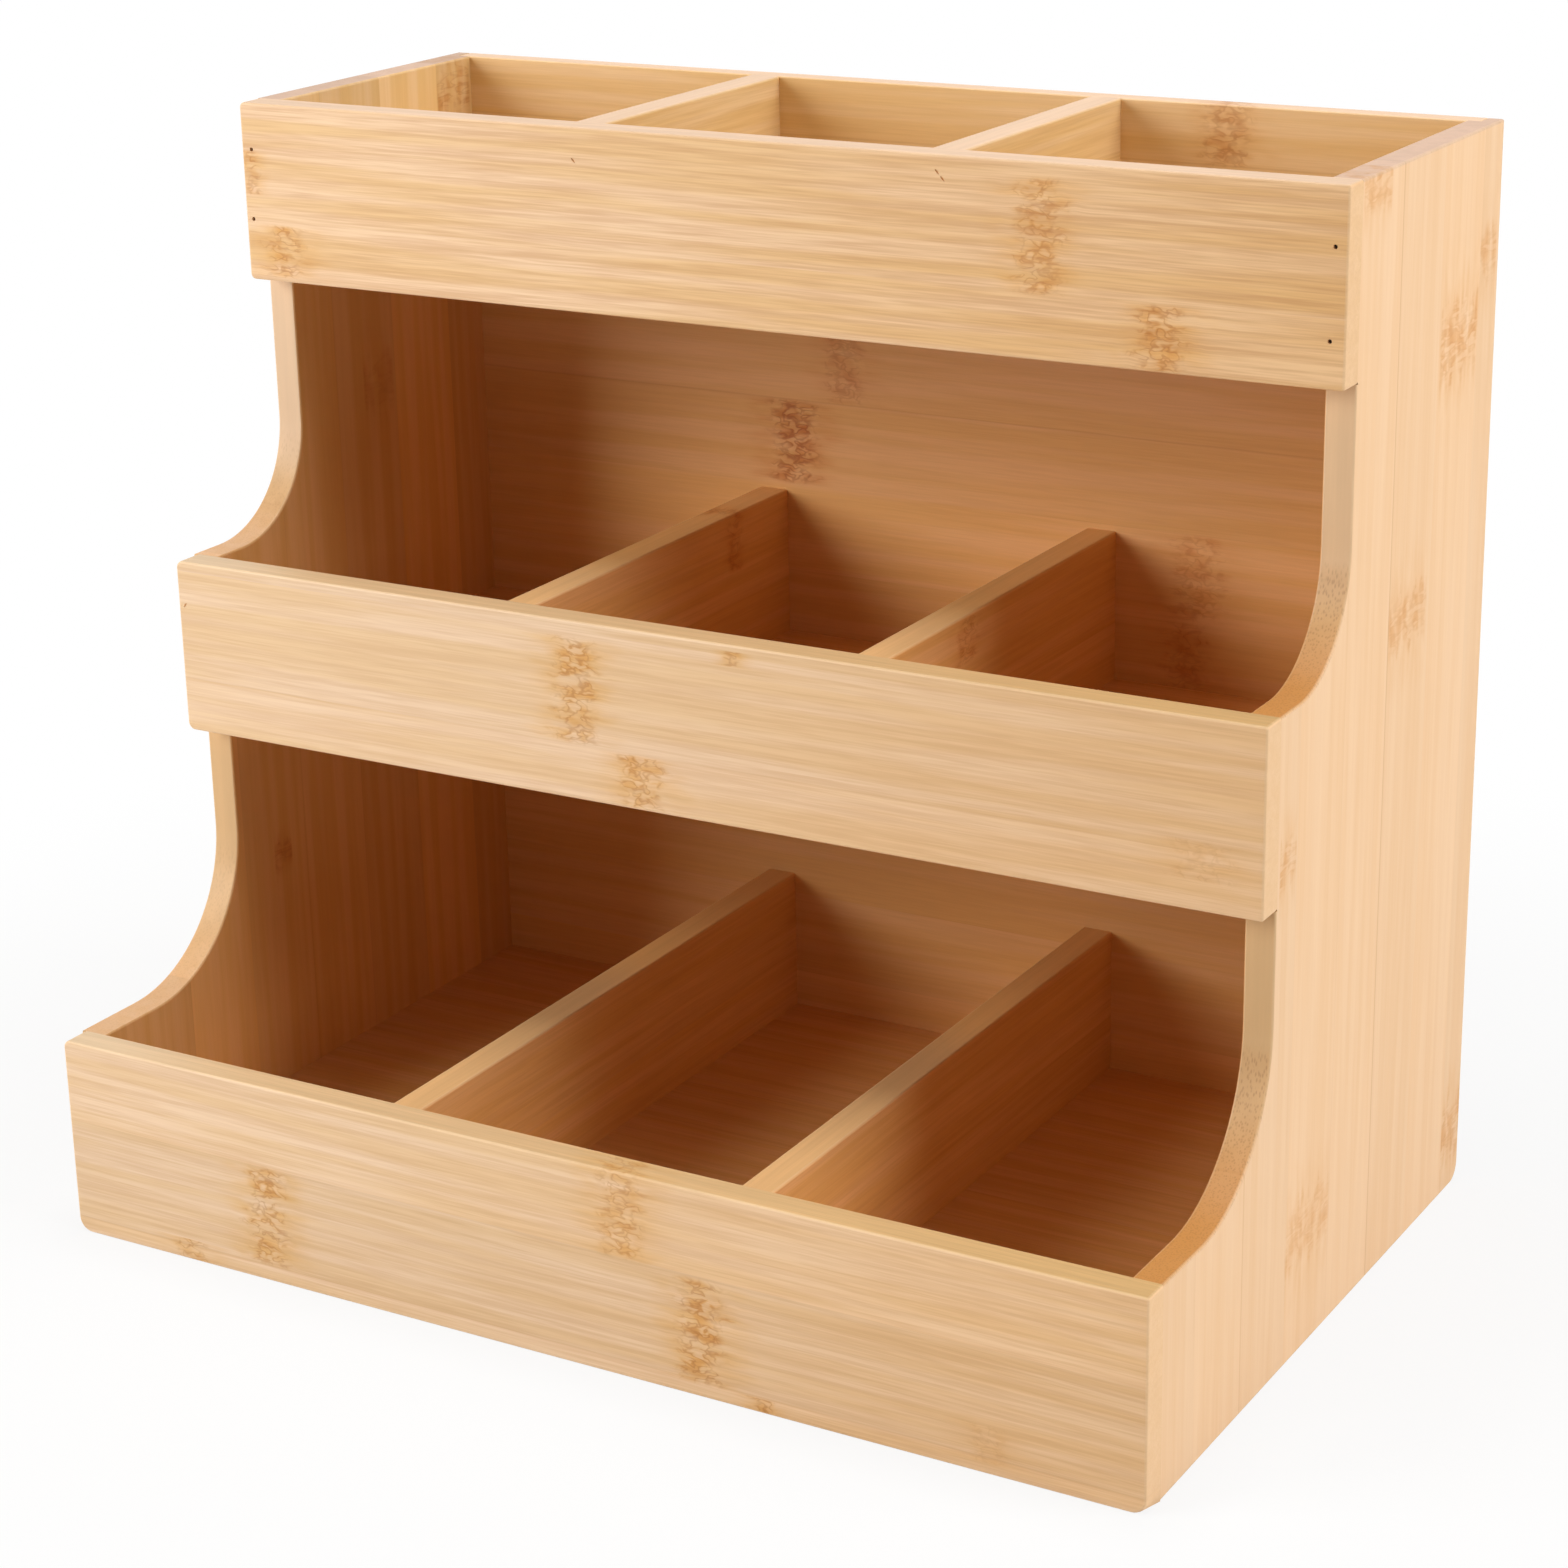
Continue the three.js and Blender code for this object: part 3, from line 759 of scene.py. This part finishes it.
# The sides' end-grain ground is partly the end grain's own colour, partly painted shade on the scallops under
# the rails.
LEFT_SIDE_ENDS = (paint("b87b35"), paint("8a5825"), 0.35)
RIGHT_SIDE_ENDS = (paint("b87b35"), paint("8a5825"), 0.9)
BACK_KNUCKLES = (
    (-45, 189, 6, 12, 1.0), (-28, 214, 5, 12, 0.55), (81, 164, 6, 12, 0.45), (78, 139, 5, 12, 0.45),
    (87, 289, 5, 12, 0.6),
)
RIGHT_SIDE_KNUCKLES = (
    (242, 76, 8, 13, 1.0), (177, 47, 6, 13, 0.85), (33, -8, 7, 14, 0.7), (17, 96, 7, 7, 1.0),
    (289, 17, 4, 9, 0.8), (261, 95, 6, 6, 0.8), (137, -27, 5, 5, 0.9),
)
LEFT_SIDE_KNUCKLES = ((285, 88, 6, 8, 0.7), (207, 44, 7, 7, 0.3), (82, -14, 3, 4, 0.6))

back_bamboo = bamboo(
    "back_bamboo", "along_width", seed=27, strips=(201.5, 25.2), toning=back_tones, knuckles=BACK_KNUCKLES,
    boldness=0.14, strength=0.45, crinkle=0.6, fine=0.55,
)
left_side_bamboo = bamboo(
    "left_side_bamboo", "along_height", seed=770, strips=(24.5, 27.7),
    toning=lambda *inputs: side_tones(*inputs, 1, LEFT_UPPER_FRONT_LIGHT), knuckles=LEFT_SIDE_KNUCKLES,
    boldness=0.1, strength=0.3, wrinkle=SIDE_WRINKLE, ends=LEFT_SIDE_ENDS, darkest_strip=0.84,
)
right_side_bamboo = bamboo(
    "right_side_bamboo", "along_height", seed=243, strips=(34, 27.7),
    toning=lambda *inputs: side_tones(*inputs, -1, RIGHT_UPPER_FRONT_LIGHT), knuckles=RIGHT_SIDE_KNUCKLES,
    boldness=0.1, strength=0.2, marks=SIDE_MARKS, wrinkle=SIDE_WRINKLE, ends=RIGHT_SIDE_ENDS,
    darkest_strip=0.97, glue=0.6,
)
print("bamboo materials so far:", len(bpy.data.materials))

# %% [markdown]
# ## Modelling a board
#
# A planed board is a box, but a perfect box looks like a computer drawing: real edges are sanded, and the
# small round catches the light. The Bevel operator makes that round. Edges that are glued against another
# board keep only a hair of it, so that the seam stays tight, and the open edges get the full round. The new
# faces carry a mark, which the material reads to make the sanded edge paler, partly for the sanding and
# partly as a painted highlight.

# %% Helpers that shape a board
OPEN_EASE = 0.6 * MM
SEAM_EASE = 0.02 * MM
EASE_SEGMENTS = 3
SHARP_ABOVE = math.radians(30)
NEAR = 0.01 * MM
DEPTH_AXIS = 1
HEIGHT_AXIS = 2


def new_shape():
    """An empty bmesh whose faces can carry the mark of an eased edge."""
    shape = bmesh.new()
    shape.faces.layers.float.new(EDGE_MARK)
    return shape


def board_shape(low, high):
    """A plain board between two corners."""
    shape = new_shape()
    bmesh.ops.create_cube(shape, size=1)
    bmesh.ops.scale(shape, vec=high - low, verts=shape.verts)
    bmesh.ops.translate(shape, vec=(low + high) / 2, verts=shape.verts)
    return shape


def round_edges(shape, edges, radius, segments=EASE_SEGMENTS):
    """Rounds the given edges, and hands back the new faces."""
    made = bmesh.ops.bevel(
        shape, geom=edges, offset=radius, segments=segments, profile=0.5, affect="EDGES", material=-1,
        clamp_overlap=True,
    )
    return made["faces"]


def ease_edges(shape, edges, radius):
    """Rounds the given edges and marks the new faces, which the material makes paler as sanding and as a
    painted highlight.
    """
    mark = shape.faces.layers.float[EDGE_MARK]
    for face in round_edges(shape, edges, radius):
        face[mark] = 1.0


def sharp_edges(shape):
    """The edges where two faces meet at a clear angle."""
    return [edge for edge in shape.edges if edge.calc_face_angle(0.0) > SHARP_ABOVE]


def edges_on(shape, axis, value):
    """The sharp edges that lie in the plane where one coordinate has the given value."""
    return [
        edge for edge in sharp_edges(shape)
        if all(abs(vertex.co[axis] - value) < NEAR for vertex in edge.verts)
    ]


print("open edges are eased by", OPEN_EASE / MM, "mm")

# %% Helpers that carve and place a board
SMOOTH_BELOW = math.radians(12)


def new_object(name, shape):
    """A bmesh as an object at the origin."""
    mesh = bpy.data.meshes.new(name)
    bmesh.ops.recalc_face_normals(shape, faces=shape.faces)
    shape.to_mesh(mesh)
    shape.free()
    thing = bpy.data.objects.new(name, mesh)
    bpy.context.collection.objects.link(thing)
    return thing


def carve(piece, cutter_shape):
    """Cuts a shape out of a piece for good."""
    cutter = new_object(piece.name + "_cutter", cutter_shape)
    cut = piece.modifiers.new("carve", "BOOLEAN")
    cut.operation = "DIFFERENCE"
    cut.solver = "EXACT"
    cut.object = cutter
    shown = piece.evaluated_get(bpy.context.evaluated_depsgraph_get())
    carved = bpy.data.meshes.new_from_object(shown)
    plain = piece.data
    piece.modifiers.clear()
    piece.data = carved
    carved.name = piece.name
    bpy.data.meshes.remove(plain)
    bpy.data.meshes.remove(cutter.data)


def finish_piece(piece, node, material):
    """Gives a piece its finish and its body, and hides the CAD node that it replaces."""
    mesh = piece.data
    mesh.materials.clear()
    mesh.materials.append(material)
    mesh.shade_smooth()
    mesh.set_sharp_from_angle(angle=SMOOTH_BELOW)
    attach(piece, "root")
    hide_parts(node)
    print(piece.name, "has", len(mesh.polygons), "faces")


print("faces that meet under", round(math.degrees(SMOOTH_BELOW)), "degrees are shaded as one")

# %% [markdown]
# ## Brads and their holes
#
# The rails are nailed on with brads: thin steel pins with a small head. A profile that is spun round the
# pin's axis gives the shape in one step. At the ends of the top rail they were punched just under the surface
# and left open. Everywhere else the holes were filled and sanded, but three brads tore a short slit in the
# skin above them. A like profile, grown by the gap round the pin, is the cutter for a hole, and a flattened
# ball is the cutter for a slit.

# %% Steel for the brads
SCRATCH = (0.2 * MM, 0.2 * MM)
DARK_STEEL = paint("4a423a")
PALE_STEEL = paint("8c857c")
STEEL_ROUGHNESS = (0.3, 0.6)

brad_steel = bpy.data.materials.new("brad_steel")
brad_steel.use_nodes = True
steel_tree = brad_steel.node_tree
steel_surface = steel_tree.nodes["Principled BSDF"]
steel_place = steel_tree.nodes.new("ShaderNodeTexCoord")
steel_split = steel_tree.nodes.new("ShaderNodeSeparateXYZ")
feed(steel_tree, steel_split.inputs[0], steel_place.outputs["Object"])
steel_sides = (steel_split.outputs["X"], steel_split.outputs["Z"])
tarnish = streaks(steel_tree, steel_split.outputs["Y"], steel_sides, shift=0.0, size=SCRATCH, detail=3.0)
feed(steel_tree, steel_surface.inputs["Base Color"], mix(steel_tree, tarnish, DARK_STEEL, PALE_STEEL))
feed(steel_tree, steel_surface.inputs["Roughness"], rescale(steel_tree, tarnish, *STEEL_ROUGHNESS))
steel_surface.inputs["Metallic"].default_value = 1.0
print("brad_steel has", len(steel_tree.nodes), "nodes")

# %% Spin the brads
BRAD_RADIUS = 0.55 * MM
HEAD_DOME = 0.12 * MM
DOME_SHOULDER = (0.6, 0.4)
HEAD_DEPTH = 0.5 * MM
POINT_LENGTH = 2 * MM
BRAD_STEPS = 20


def spun_shape(profile, centre):
    """A closed round shape from a profile of radii and places along Y, spun about a pin's axis."""
    shape = new_shape()
    corners = [shape.verts.new((centre.x + radius, along, centre.z)) for radius, along in profile]
    outline = [shape.edges.new(pair) for pair in zip(corners, corners[1:])]
    bmesh.ops.spin(
        shape, geom=corners + outline, cent=centre, axis=(0, 1, 0), angle=math.tau, steps=BRAD_STEPS,
        use_merge=True,
    )
    bmesh.ops.remove_doubles(shape, verts=shape.verts, dist=NEAR)
    bmesh.ops.recalc_face_normals(shape, faces=shape.faces)
    return shape


def brad_shape(node):
    """A brad with a slightly domed head, in its CAD node's place."""
    low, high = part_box(node)
    head_radius = (high.z - low.z) / 2
    shoulder_reach, shoulder_drop = DOME_SHOULDER
    return spun_shape([
        (0, low.y), (head_radius * shoulder_reach, low.y + HEAD_DOME * shoulder_drop),
        (head_radius, low.y + HEAD_DOME), (head_radius, low.y + HEAD_DEPTH),
        (BRAD_RADIUS, low.y + HEAD_DEPTH), (BRAD_RADIUS, high.y - POINT_LENGTH), (0, high.y),
    ], (low + high) / 2)


brad_nodes = sorted(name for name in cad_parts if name.endswith("_brad"))
for node in brad_nodes:
    brad = new_object(node.replace("_brad", "_nail"), brad_shape(node))
    finish_piece(brad, node, brad_steel)
print("brads:", len(brad_nodes))

# %% Cutters for holes and slits
HOLE_GAP = 0.15 * MM
FILLER_SKIN = 0.6 * MM
OPEN_REACH = 1 * MM
MOUTH_RADIUS = 0.55 * MM
MOUTH_TAPER = 0.2 * MM
SLIT_SIZE = (1.7 * MM, 1.0 * MM, 0.6 * MM)
SLIT_LIFT = 0.07 * MM
SLIT_LEAN = math.radians(47)
SLITS = {
    "top_left_divider_brad": (SLIT_LEAN, (0.0,)),
    "top_right_divider_brad": (SLIT_LEAN, (-1.1 * MM, 1.1 * MM)),
    "middle_left_side_upper_brad": (-SLIT_LEAN, (0.0,)),
}


def hole_shape(node, rail_front):
    """The hole round a brad: open at the front at the top rail's ends, under a skin elsewhere."""
    low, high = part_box(node)
    head_radius = (high.z - low.z) / 2 + HOLE_GAP
    pin_radius = BRAD_RADIUS + HOLE_GAP
    is_open = node.startswith("top") and node not in SLITS
    front = rail_front - OPEN_REACH if is_open else rail_front + FILLER_SKIN
    mouth_radius = MOUTH_RADIUS if is_open else head_radius
    return spun_shape([
        (0, front), (mouth_radius, front), (mouth_radius, low.y - HOLE_GAP - MOUTH_TAPER),
        (head_radius, low.y - HOLE_GAP), (head_radius, low.y + HEAD_DEPTH + HOLE_GAP),
        (pin_radius, low.y + HEAD_DEPTH + HOLE_GAP), (pin_radius, high.y - POINT_LENGTH),
        (0, high.y + HOLE_GAP),
    ], (low + high) / 2)


def slit_shape(node, rail_front, slit_lean, step):
    """A short slanting slit that a brad tore in the skin above its head: a flattened ball, a step along
    the slant from the brad."""
    low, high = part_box(node)
    centre = (low + high) / 2
    shape = new_shape()
    bmesh.ops.create_uvsphere(shape, u_segments=BRAD_STEPS, v_segments=BRAD_STEPS // 2, radius=0.5)
    bmesh.ops.scale(shape, vec=SLIT_SIZE, verts=shape.verts)
    bmesh.ops.translate(shape, vec=(step, 0, 0), verts=shape.verts)
    bmesh.ops.rotate(shape, cent=(0, 0, 0), matrix=Matrix.Rotation(slit_lean, 3, "Y"), verts=shape.verts)
    bmesh.ops.translate(shape, vec=(centre.x, rail_front - SLIT_LIFT, centre.z), verts=shape.verts)
    return shape


def drill(piece, nodes, tier):
    """Cuts the holes of some of a tier's brads into a piece."""
    rail_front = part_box(tier + "_front_rail")[0].y
    for node in nodes:
        carve(piece, hole_shape(node, rail_front))


print("slits over", len(SLITS), "brads")

# %% [markdown]
# ## The front rails
#
# Each tier is closed at the front by a rail, a board on edge across the whole width. Its corners are rounded,
# more at the left end than at the right one, and its front edges are sanded. The lowest rail also stands on
# the table, and its two feet have larger rounds, which run out to square corners behind. All three rails come
# from one function, since little but their boxes in the frame differs.

# %% Front rails
TIERS = ("lower", "middle", "top")
LEFT_CORNERS = {"lower": 2.1 * MM, "middle": 2.1 * MM, "top": 1.5 * MM}
RIGHT_CORNER = 0.8 * MM
FOOT_CORNER = 4 * MM
CORNER_SEGMENTS = 8


def square_behind(faces, low, high):
    """Draws a foot's round out to a square corner at the back of the rail, where it meets the side."""
    for vertex in {v for face in faces for v in face.verts if v.co.y > high.y - NEAR}:
        middle_x = max(low.x + FOOT_CORNER, min(high.x - FOOT_CORNER, vertex.co.x))
        middle = Vector((middle_x, high.y, low.z + FOOT_CORNER))
        wider = middle + (vertex.co - middle) * math.sqrt(2)
        vertex.co = (max(low.x, min(high.x, wider.x)), high.y, max(low.z, wider.z))


def rail_shape(tier):
    """A rail with round corners, sanded in front and tight against the sides behind."""
    low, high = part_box(tier + "_front_rail")
    shape = board_shape(low, high)
    corners = [edge for edge in shape.edges if abs(edge.verts[0].co.y - edge.verts[1].co.y) > NEAR]
    if tier == "lower":
        feet = [edge for edge in corners if edge.verts[0].co.z < low.z + NEAR]
        corners = [edge for edge in corners if edge not in feet]
        square_behind(round_edges(shape, feet, FOOT_CORNER, CORNER_SEGMENTS), low, high)
    left_corners = [edge for edge in corners if edge.verts[0].co.x < 0]
    right_corners = [edge for edge in corners if edge not in left_corners]
    round_edges(shape, left_corners, LEFT_CORNERS[tier], CORNER_SEGMENTS)
    round_edges(shape, right_corners, RIGHT_CORNER, CORNER_SEGMENTS)
    ease_edges(shape, edges_on(shape, DEPTH_AXIS, low.y), OPEN_EASE)
    ease_edges(shape, edges_on(shape, DEPTH_AXIS, high.y), SEAM_EASE)
    return shape


for tier in TIERS:
    rail = new_object(tier + "_rail_board", rail_shape(tier))
    rail_brads = [node for node in brad_nodes if node.startswith(tier)]
    drill(rail, rail_brads, tier)
    for node in rail_brads:
        slit_lean, steps = SLITS.get(node, (0.0, ()))
        for step in steps:
            carve(rail, slit_shape(node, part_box(tier + "_front_rail")[0].y, slit_lean, step))
    finish_piece(rail, tier + "_front_rail", rail_bamboos[tier])

# %% [markdown]
# ## The scalloped sides
#
# A side is one board, stepped like a stair, and at each step its front edge sweeps forward in a quarter
# round. Drawing the curve point by point would hide its size. Instead the outline has plain corners, and a
# vertex bevel with the scallop's radius rounds the two inner ones. The flat face is then extruded to a
# board. Two extra points just above the rails' lower edges end the sanding there, since a bevel that stops at
# a corner would taper along the whole next edge. Grooves, a rebate and the brads' holes are cut last.

# %% The sides' outline
LOWER_SCALLOP = 40 * MM
HEEL = 5 * MM
SCALLOP_SEGMENTS = 28
SIDE_EASE = 0.6 * MM
EASE_END = 0.8 * MM


def tier_places():
    """Where each tier's side edge stands, and its rail's top and bottom, all from the rails' boxes."""
    boxes = {tier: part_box(tier + "_front_rail") for tier in TIERS}
    return {tier: (high.y, high.z, low.z) for tier, (low, high) in boxes.items()}


def round_corner(shape, y, z, radius):
    """Rounds the one corner of a flat outline that lies at the given place."""
    corner = next(v for v in shape.verts if abs(v.co.y - y) < NEAR and abs(v.co.z - z) < NEAR)
    bmesh.ops.bevel(
        shape, geom=[corner], offset=radius, segments=SCALLOP_SEGMENTS, profile=0.5, affect="VERTICES",
        material=-1,
    )


def behind_rail(edge, places):
    """True for an edge that is glued against the back of a rail."""
    return any(
        all(abs(v.co.y - y) < NEAR and bottom - NEAR < v.co.z < top + NEAR for v in edge.verts)
        for y, top, bottom in places.values()
    )


def side_shape(node):
    """A side panel's board before its grooves are cut."""
    low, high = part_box(node)
    places = tier_places()
    (lower_y, lower_top, _), (middle_y, middle_top, middle_bottom), (top_y, _, top_bottom) = places.values()
    outline = (
        (high.y, low.z), (high.y, high.z), (top_y, high.z), (top_y, top_bottom + EASE_END),
        (top_y, top_bottom), (top_y, middle_top), (middle_y, middle_top),
        (middle_y, middle_bottom + EASE_END), (middle_y, middle_bottom), (middle_y, lower_top),
        (lower_y, lower_top), (lower_y, low.z),
    )
    shape = new_shape()
    shape.faces.new([shape.verts.new((low.x, y, z)) for y, z in outline])
    round_corner(shape, top_y, middle_top, MIDDLE_SCALLOP)
    round_corner(shape, middle_y, lower_top, LOWER_SCALLOP)
    round_corner(shape, high.y, low.z, HEEL)
    grown = bmesh.ops.extrude_face_region(shape, geom=shape.faces[:])["geom"]
    moved = [part for part in grown if isinstance(part, bmesh.types.BMVert)]
    bmesh.ops.translate(shape, vec=(high.x - low.x, 0, 0), verts=moved)
    bmesh.ops.recalc_face_normals(shape, faces=shape.faces)
    ease_edges(shape, [e for e in sharp_edges(shape) if not behind_rail(e, places)], SIDE_EASE)
    ease_edges(shape, [e for e in sharp_edges(shape) if behind_rail(e, places)], SEAM_EASE)
    return shape


print("scallop radii in millimetres:", LOWER_SCALLOP / MM, MIDDLE_SCALLOP / MM)

# %% Grooves, rebates and the finished sides
OVERCUT = 1 * MM
GROOVE_GAP = 0.3 * MM


def groove_shape(part, inner_x, inner_sign):
    """The cutter for a floor's groove or the back's rebate. The sign points to the inside."""
    low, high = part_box(part)
    is_back = part == "back_panel"
    reach = low.x - GROOVE_GAP if inner_sign > 0 else high.x + GROOVE_GAP
    ends = sorted((reach, inner_x + inner_sign * OVERCUT))
    front = low.y if is_back else low.y - OVERCUT
    behind = high.y + OVERCUT if is_back else high.y
    roof = high.z + OVERCUT if is_back else high.z
    return board_shape(Vector((ends[0], front, low.z)), Vector((ends[1], behind, roof)))


for hand, inner_sign, material in (("left", 1, left_side_bamboo), ("right", -1, right_side_bamboo)):
    node = hand + "_side_panel"
    side = new_object(hand + "_side_board", side_shape(node))
    inner_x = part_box(node)[1 if inner_sign > 0 else 0].x
    for part in ("back_panel", *(tier + "_floor" for tier in TIERS)):
        carve(side, groove_shape(part, inner_x, inner_sign))
    for tier in TIERS:
        drill(side, [name for name in brad_nodes if name.startswith(f"{tier}_{hand}_side")], tier)
    finish_piece(side, node, material)

# %% [markdown]
# ## Back, floors and dividers
#
# The inner boards are plain: a back that drops into the sides' rebates, a floor in grooves on each tier, and
# two dividers that stand on each floor. What shows of them is mostly the dividers' top edges, which are
# sanded, while their ends are glued tight. Each divider takes one brad through the rail.

# %% Back
BACK_EASE = 0.4 * MM

back_low, back_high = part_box("back_panel")
back = board_shape(back_low, back_high)
ease_edges(back, edges_on(back, HEIGHT_AXIS, back_high.z), BACK_EASE)
finish_piece(new_object("back_board", back), "back_panel", back_bamboo)

# %% Floors and dividers
FIRST_INNER_SEED = 51
SEED_STEP = 8
INNER_BOLDNESS = 0.25
FLOOR_STRIPS = (6, 26)
DIVIDER_STRIP = 27
TOP_STRIP = 26
DIVIDER_KNUCKLES = {"middle_left": ((67, 167, 3, 9, 0.6),), "middle_right": ((8, 168, 4, 6, 0.6),)}


def make_floor(tier, seed):
    """A tier's floor, tight in its grooves."""
    low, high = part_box(tier + "_floor")
    shape = board_shape(low, high)
    ease_edges(shape, edges_on(shape, HEIGHT_AXIS, high.z), SEAM_EASE)
    material = bamboo(
        tier + "_floor_bamboo", "floor", seed, FLOOR_STRIPS, inner_shade_tones, boldness=INNER_BOLDNESS
    )
    finish_piece(new_object(tier + "_floor_board", shape), tier + "_floor", material)


def make_divider(tier, hand, seed):
    """A divider, sanded along its top and drilled for its brad."""
    node = f"{tier}_{hand}_divider"
    low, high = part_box(node)
    shape = board_shape(low, high)
    depth = high.y - low.y
    long_edges = [e for e in edges_on(shape, HEIGHT_AXIS, high.z) if e.calc_length() > depth - NEAR]
    ease_edges(shape, long_edges, OPEN_EASE)
    material = bamboo(
        node + "_bamboo", "along_depth", seed, (high.z / MM - TOP_STRIP, DIVIDER_STRIP), divider_tones,
        DIVIDER_KNUCKLES.get(f"{tier}_{hand}", ()), boldness=INNER_BOLDNESS,
    )
    divider = new_object(node + "_board", shape)
    drill(divider, [node + "_brad"], tier)
    finish_piece(divider, node, material)


inner_seed = FIRST_INNER_SEED
for tier in TIERS:
    make_floor(tier, inner_seed)
    for hand in ("left", "right"):
        inner_seed += SEED_STEP
        make_divider(tier, hand, inner_seed)

# %% [markdown]
# ## Floor and light
#
# The photograph is a studio picture on white, lit softly from the front left, from the right and from above.
# Three large area lamps do that, with a faint even sky for the rest. The white ground could be made by
# flooding it with light, but that would bleach the bamboo too. Instead the floor and the sky show themselves
# as white to the camera and to reflections only. Near the object the floor keeps a share of its real shading,
# which holds the shadow, and farther off it fades to pure white.

# %% Studio floor
FLOOR_SIZE = 12
NEAR_GLOW = 0.85
GLOW_REACH = (0.2, 0.45)
FLOOR_COLOUR = paint("dddcda")


def seen_directly(tree):
    """1 for rays from the camera, from gloss and from glass, 0 for the light that falls on things."""
    path = tree.nodes.new("ShaderNodeLightPath")
    seen = calculate(tree, "MAXIMUM", path.outputs["Is Camera Ray"], path.outputs["Is Glossy Ray"])
    return calculate(tree, "MAXIMUM", seen, path.outputs["Is Transmission Ray"])


studio_white = bpy.data.materials.new("studio_white")
studio_white.use_nodes = True
white_tree = studio_white.node_tree
white_tree.nodes.clear()
white_out = white_tree.nodes.new("ShaderNodeOutputMaterial")
white_shading = white_tree.nodes.new("ShaderNodeBsdfDiffuse")
white_shading.inputs["Color"].default_value = FLOOR_COLOUR
white_glow = white_tree.nodes.new("ShaderNodeEmission")
white_mix = white_tree.nodes.new("ShaderNodeMixShader")
white_place = white_tree.nodes.new("ShaderNodeTexCoord")
far_off = white_tree.nodes.new("ShaderNodeVectorMath")
far_off.operation = "LENGTH"
feed(white_tree, far_off.inputs[0], white_place.outputs["Object"])
glow = rescale(white_tree, fade(white_tree, far_off.outputs["Value"], *GLOW_REACH), NEAR_GLOW, 1.0)
feed(white_tree, white_mix.inputs[0], calculate(white_tree, "MULTIPLY", seen_directly(white_tree), glow))
feed(white_tree, white_mix.inputs[1], white_shading.outputs[0])
feed(white_tree, white_mix.inputs[2], white_glow.outputs[0])
feed(white_tree, white_out.inputs["Surface"], white_mix.outputs[0])

ground = bmesh.new()
bmesh.ops.create_grid(ground, x_segments=1, y_segments=1, size=FLOOR_SIZE / 2)
studio_floor = new_object("studio_floor", ground)
studio_floor.data.materials.append(studio_white)
print("floor is", FLOOR_SIZE, "metres wide")

# %% Sky
SKY_LIGHT = 0.13
SKY_WHITE = paint("ffffff")

sky = bpy.data.worlds.new("studio_sky")
sky.use_nodes = True
bpy.context.scene.world = sky
sky_light = sky.node_tree.nodes["Background"]
sky_light.inputs["Color"].default_value = SKY_WHITE
sky_light.inputs["Strength"].default_value = SKY_LIGHT
sky_white = sky.node_tree.nodes.new("ShaderNodeBackground")
sky_white.inputs["Color"].default_value = SKY_WHITE
sky_white.inputs["Strength"].default_value = 1.0
sky_mix = sky.node_tree.nodes.new("ShaderNodeMixShader")
feed(sky.node_tree, sky_mix.inputs[0], seen_directly(sky.node_tree))
feed(sky.node_tree, sky_mix.inputs[1], sky_light.outputs[0])
feed(sky.node_tree, sky_mix.inputs[2], sky_white.outputs[0])
feed(sky.node_tree, sky.node_tree.nodes["World Output"].inputs["Surface"], sky_mix.outputs[0])
print("the sky lights the object with a strength of", SKY_LIGHT)

# %% Lamps
LAMPS = {
    "front_left_softbox": {"location": (-0.92, -1.03, 0.67), "size": 0.8, "power": 17.0},
    "right_softbox": {"location": (1.8, 0.2, 1.1), "size": 1.2, "power": 29.5},
    "top_softbox": {"location": (0.0, 0.04, 1.8), "size": 0.8, "power": 15.5},
}


def softbox(name, location, size, power):
    """A square area lamp that looks at the middle of the object. Lengths are in metres, power in watts."""
    lamp = bpy.data.lights.new(name, "AREA")
    lamp.size = size
    lamp.energy = power
    holder = bpy.data.objects.new(name, lamp)
    aim = (whole_low + whole_high) / 2 - Vector(location)
    holder.matrix_world = Matrix.Translation(location) @ aim.to_track_quat("-Z", "Y").to_matrix().to_4x4()
    bpy.context.collection.objects.link(holder)
    print(name, "is", round(aim.length, 2), "metres away")


for lamp_name, lamp_values in LAMPS.items():
    softbox(lamp_name, **lamp_values)
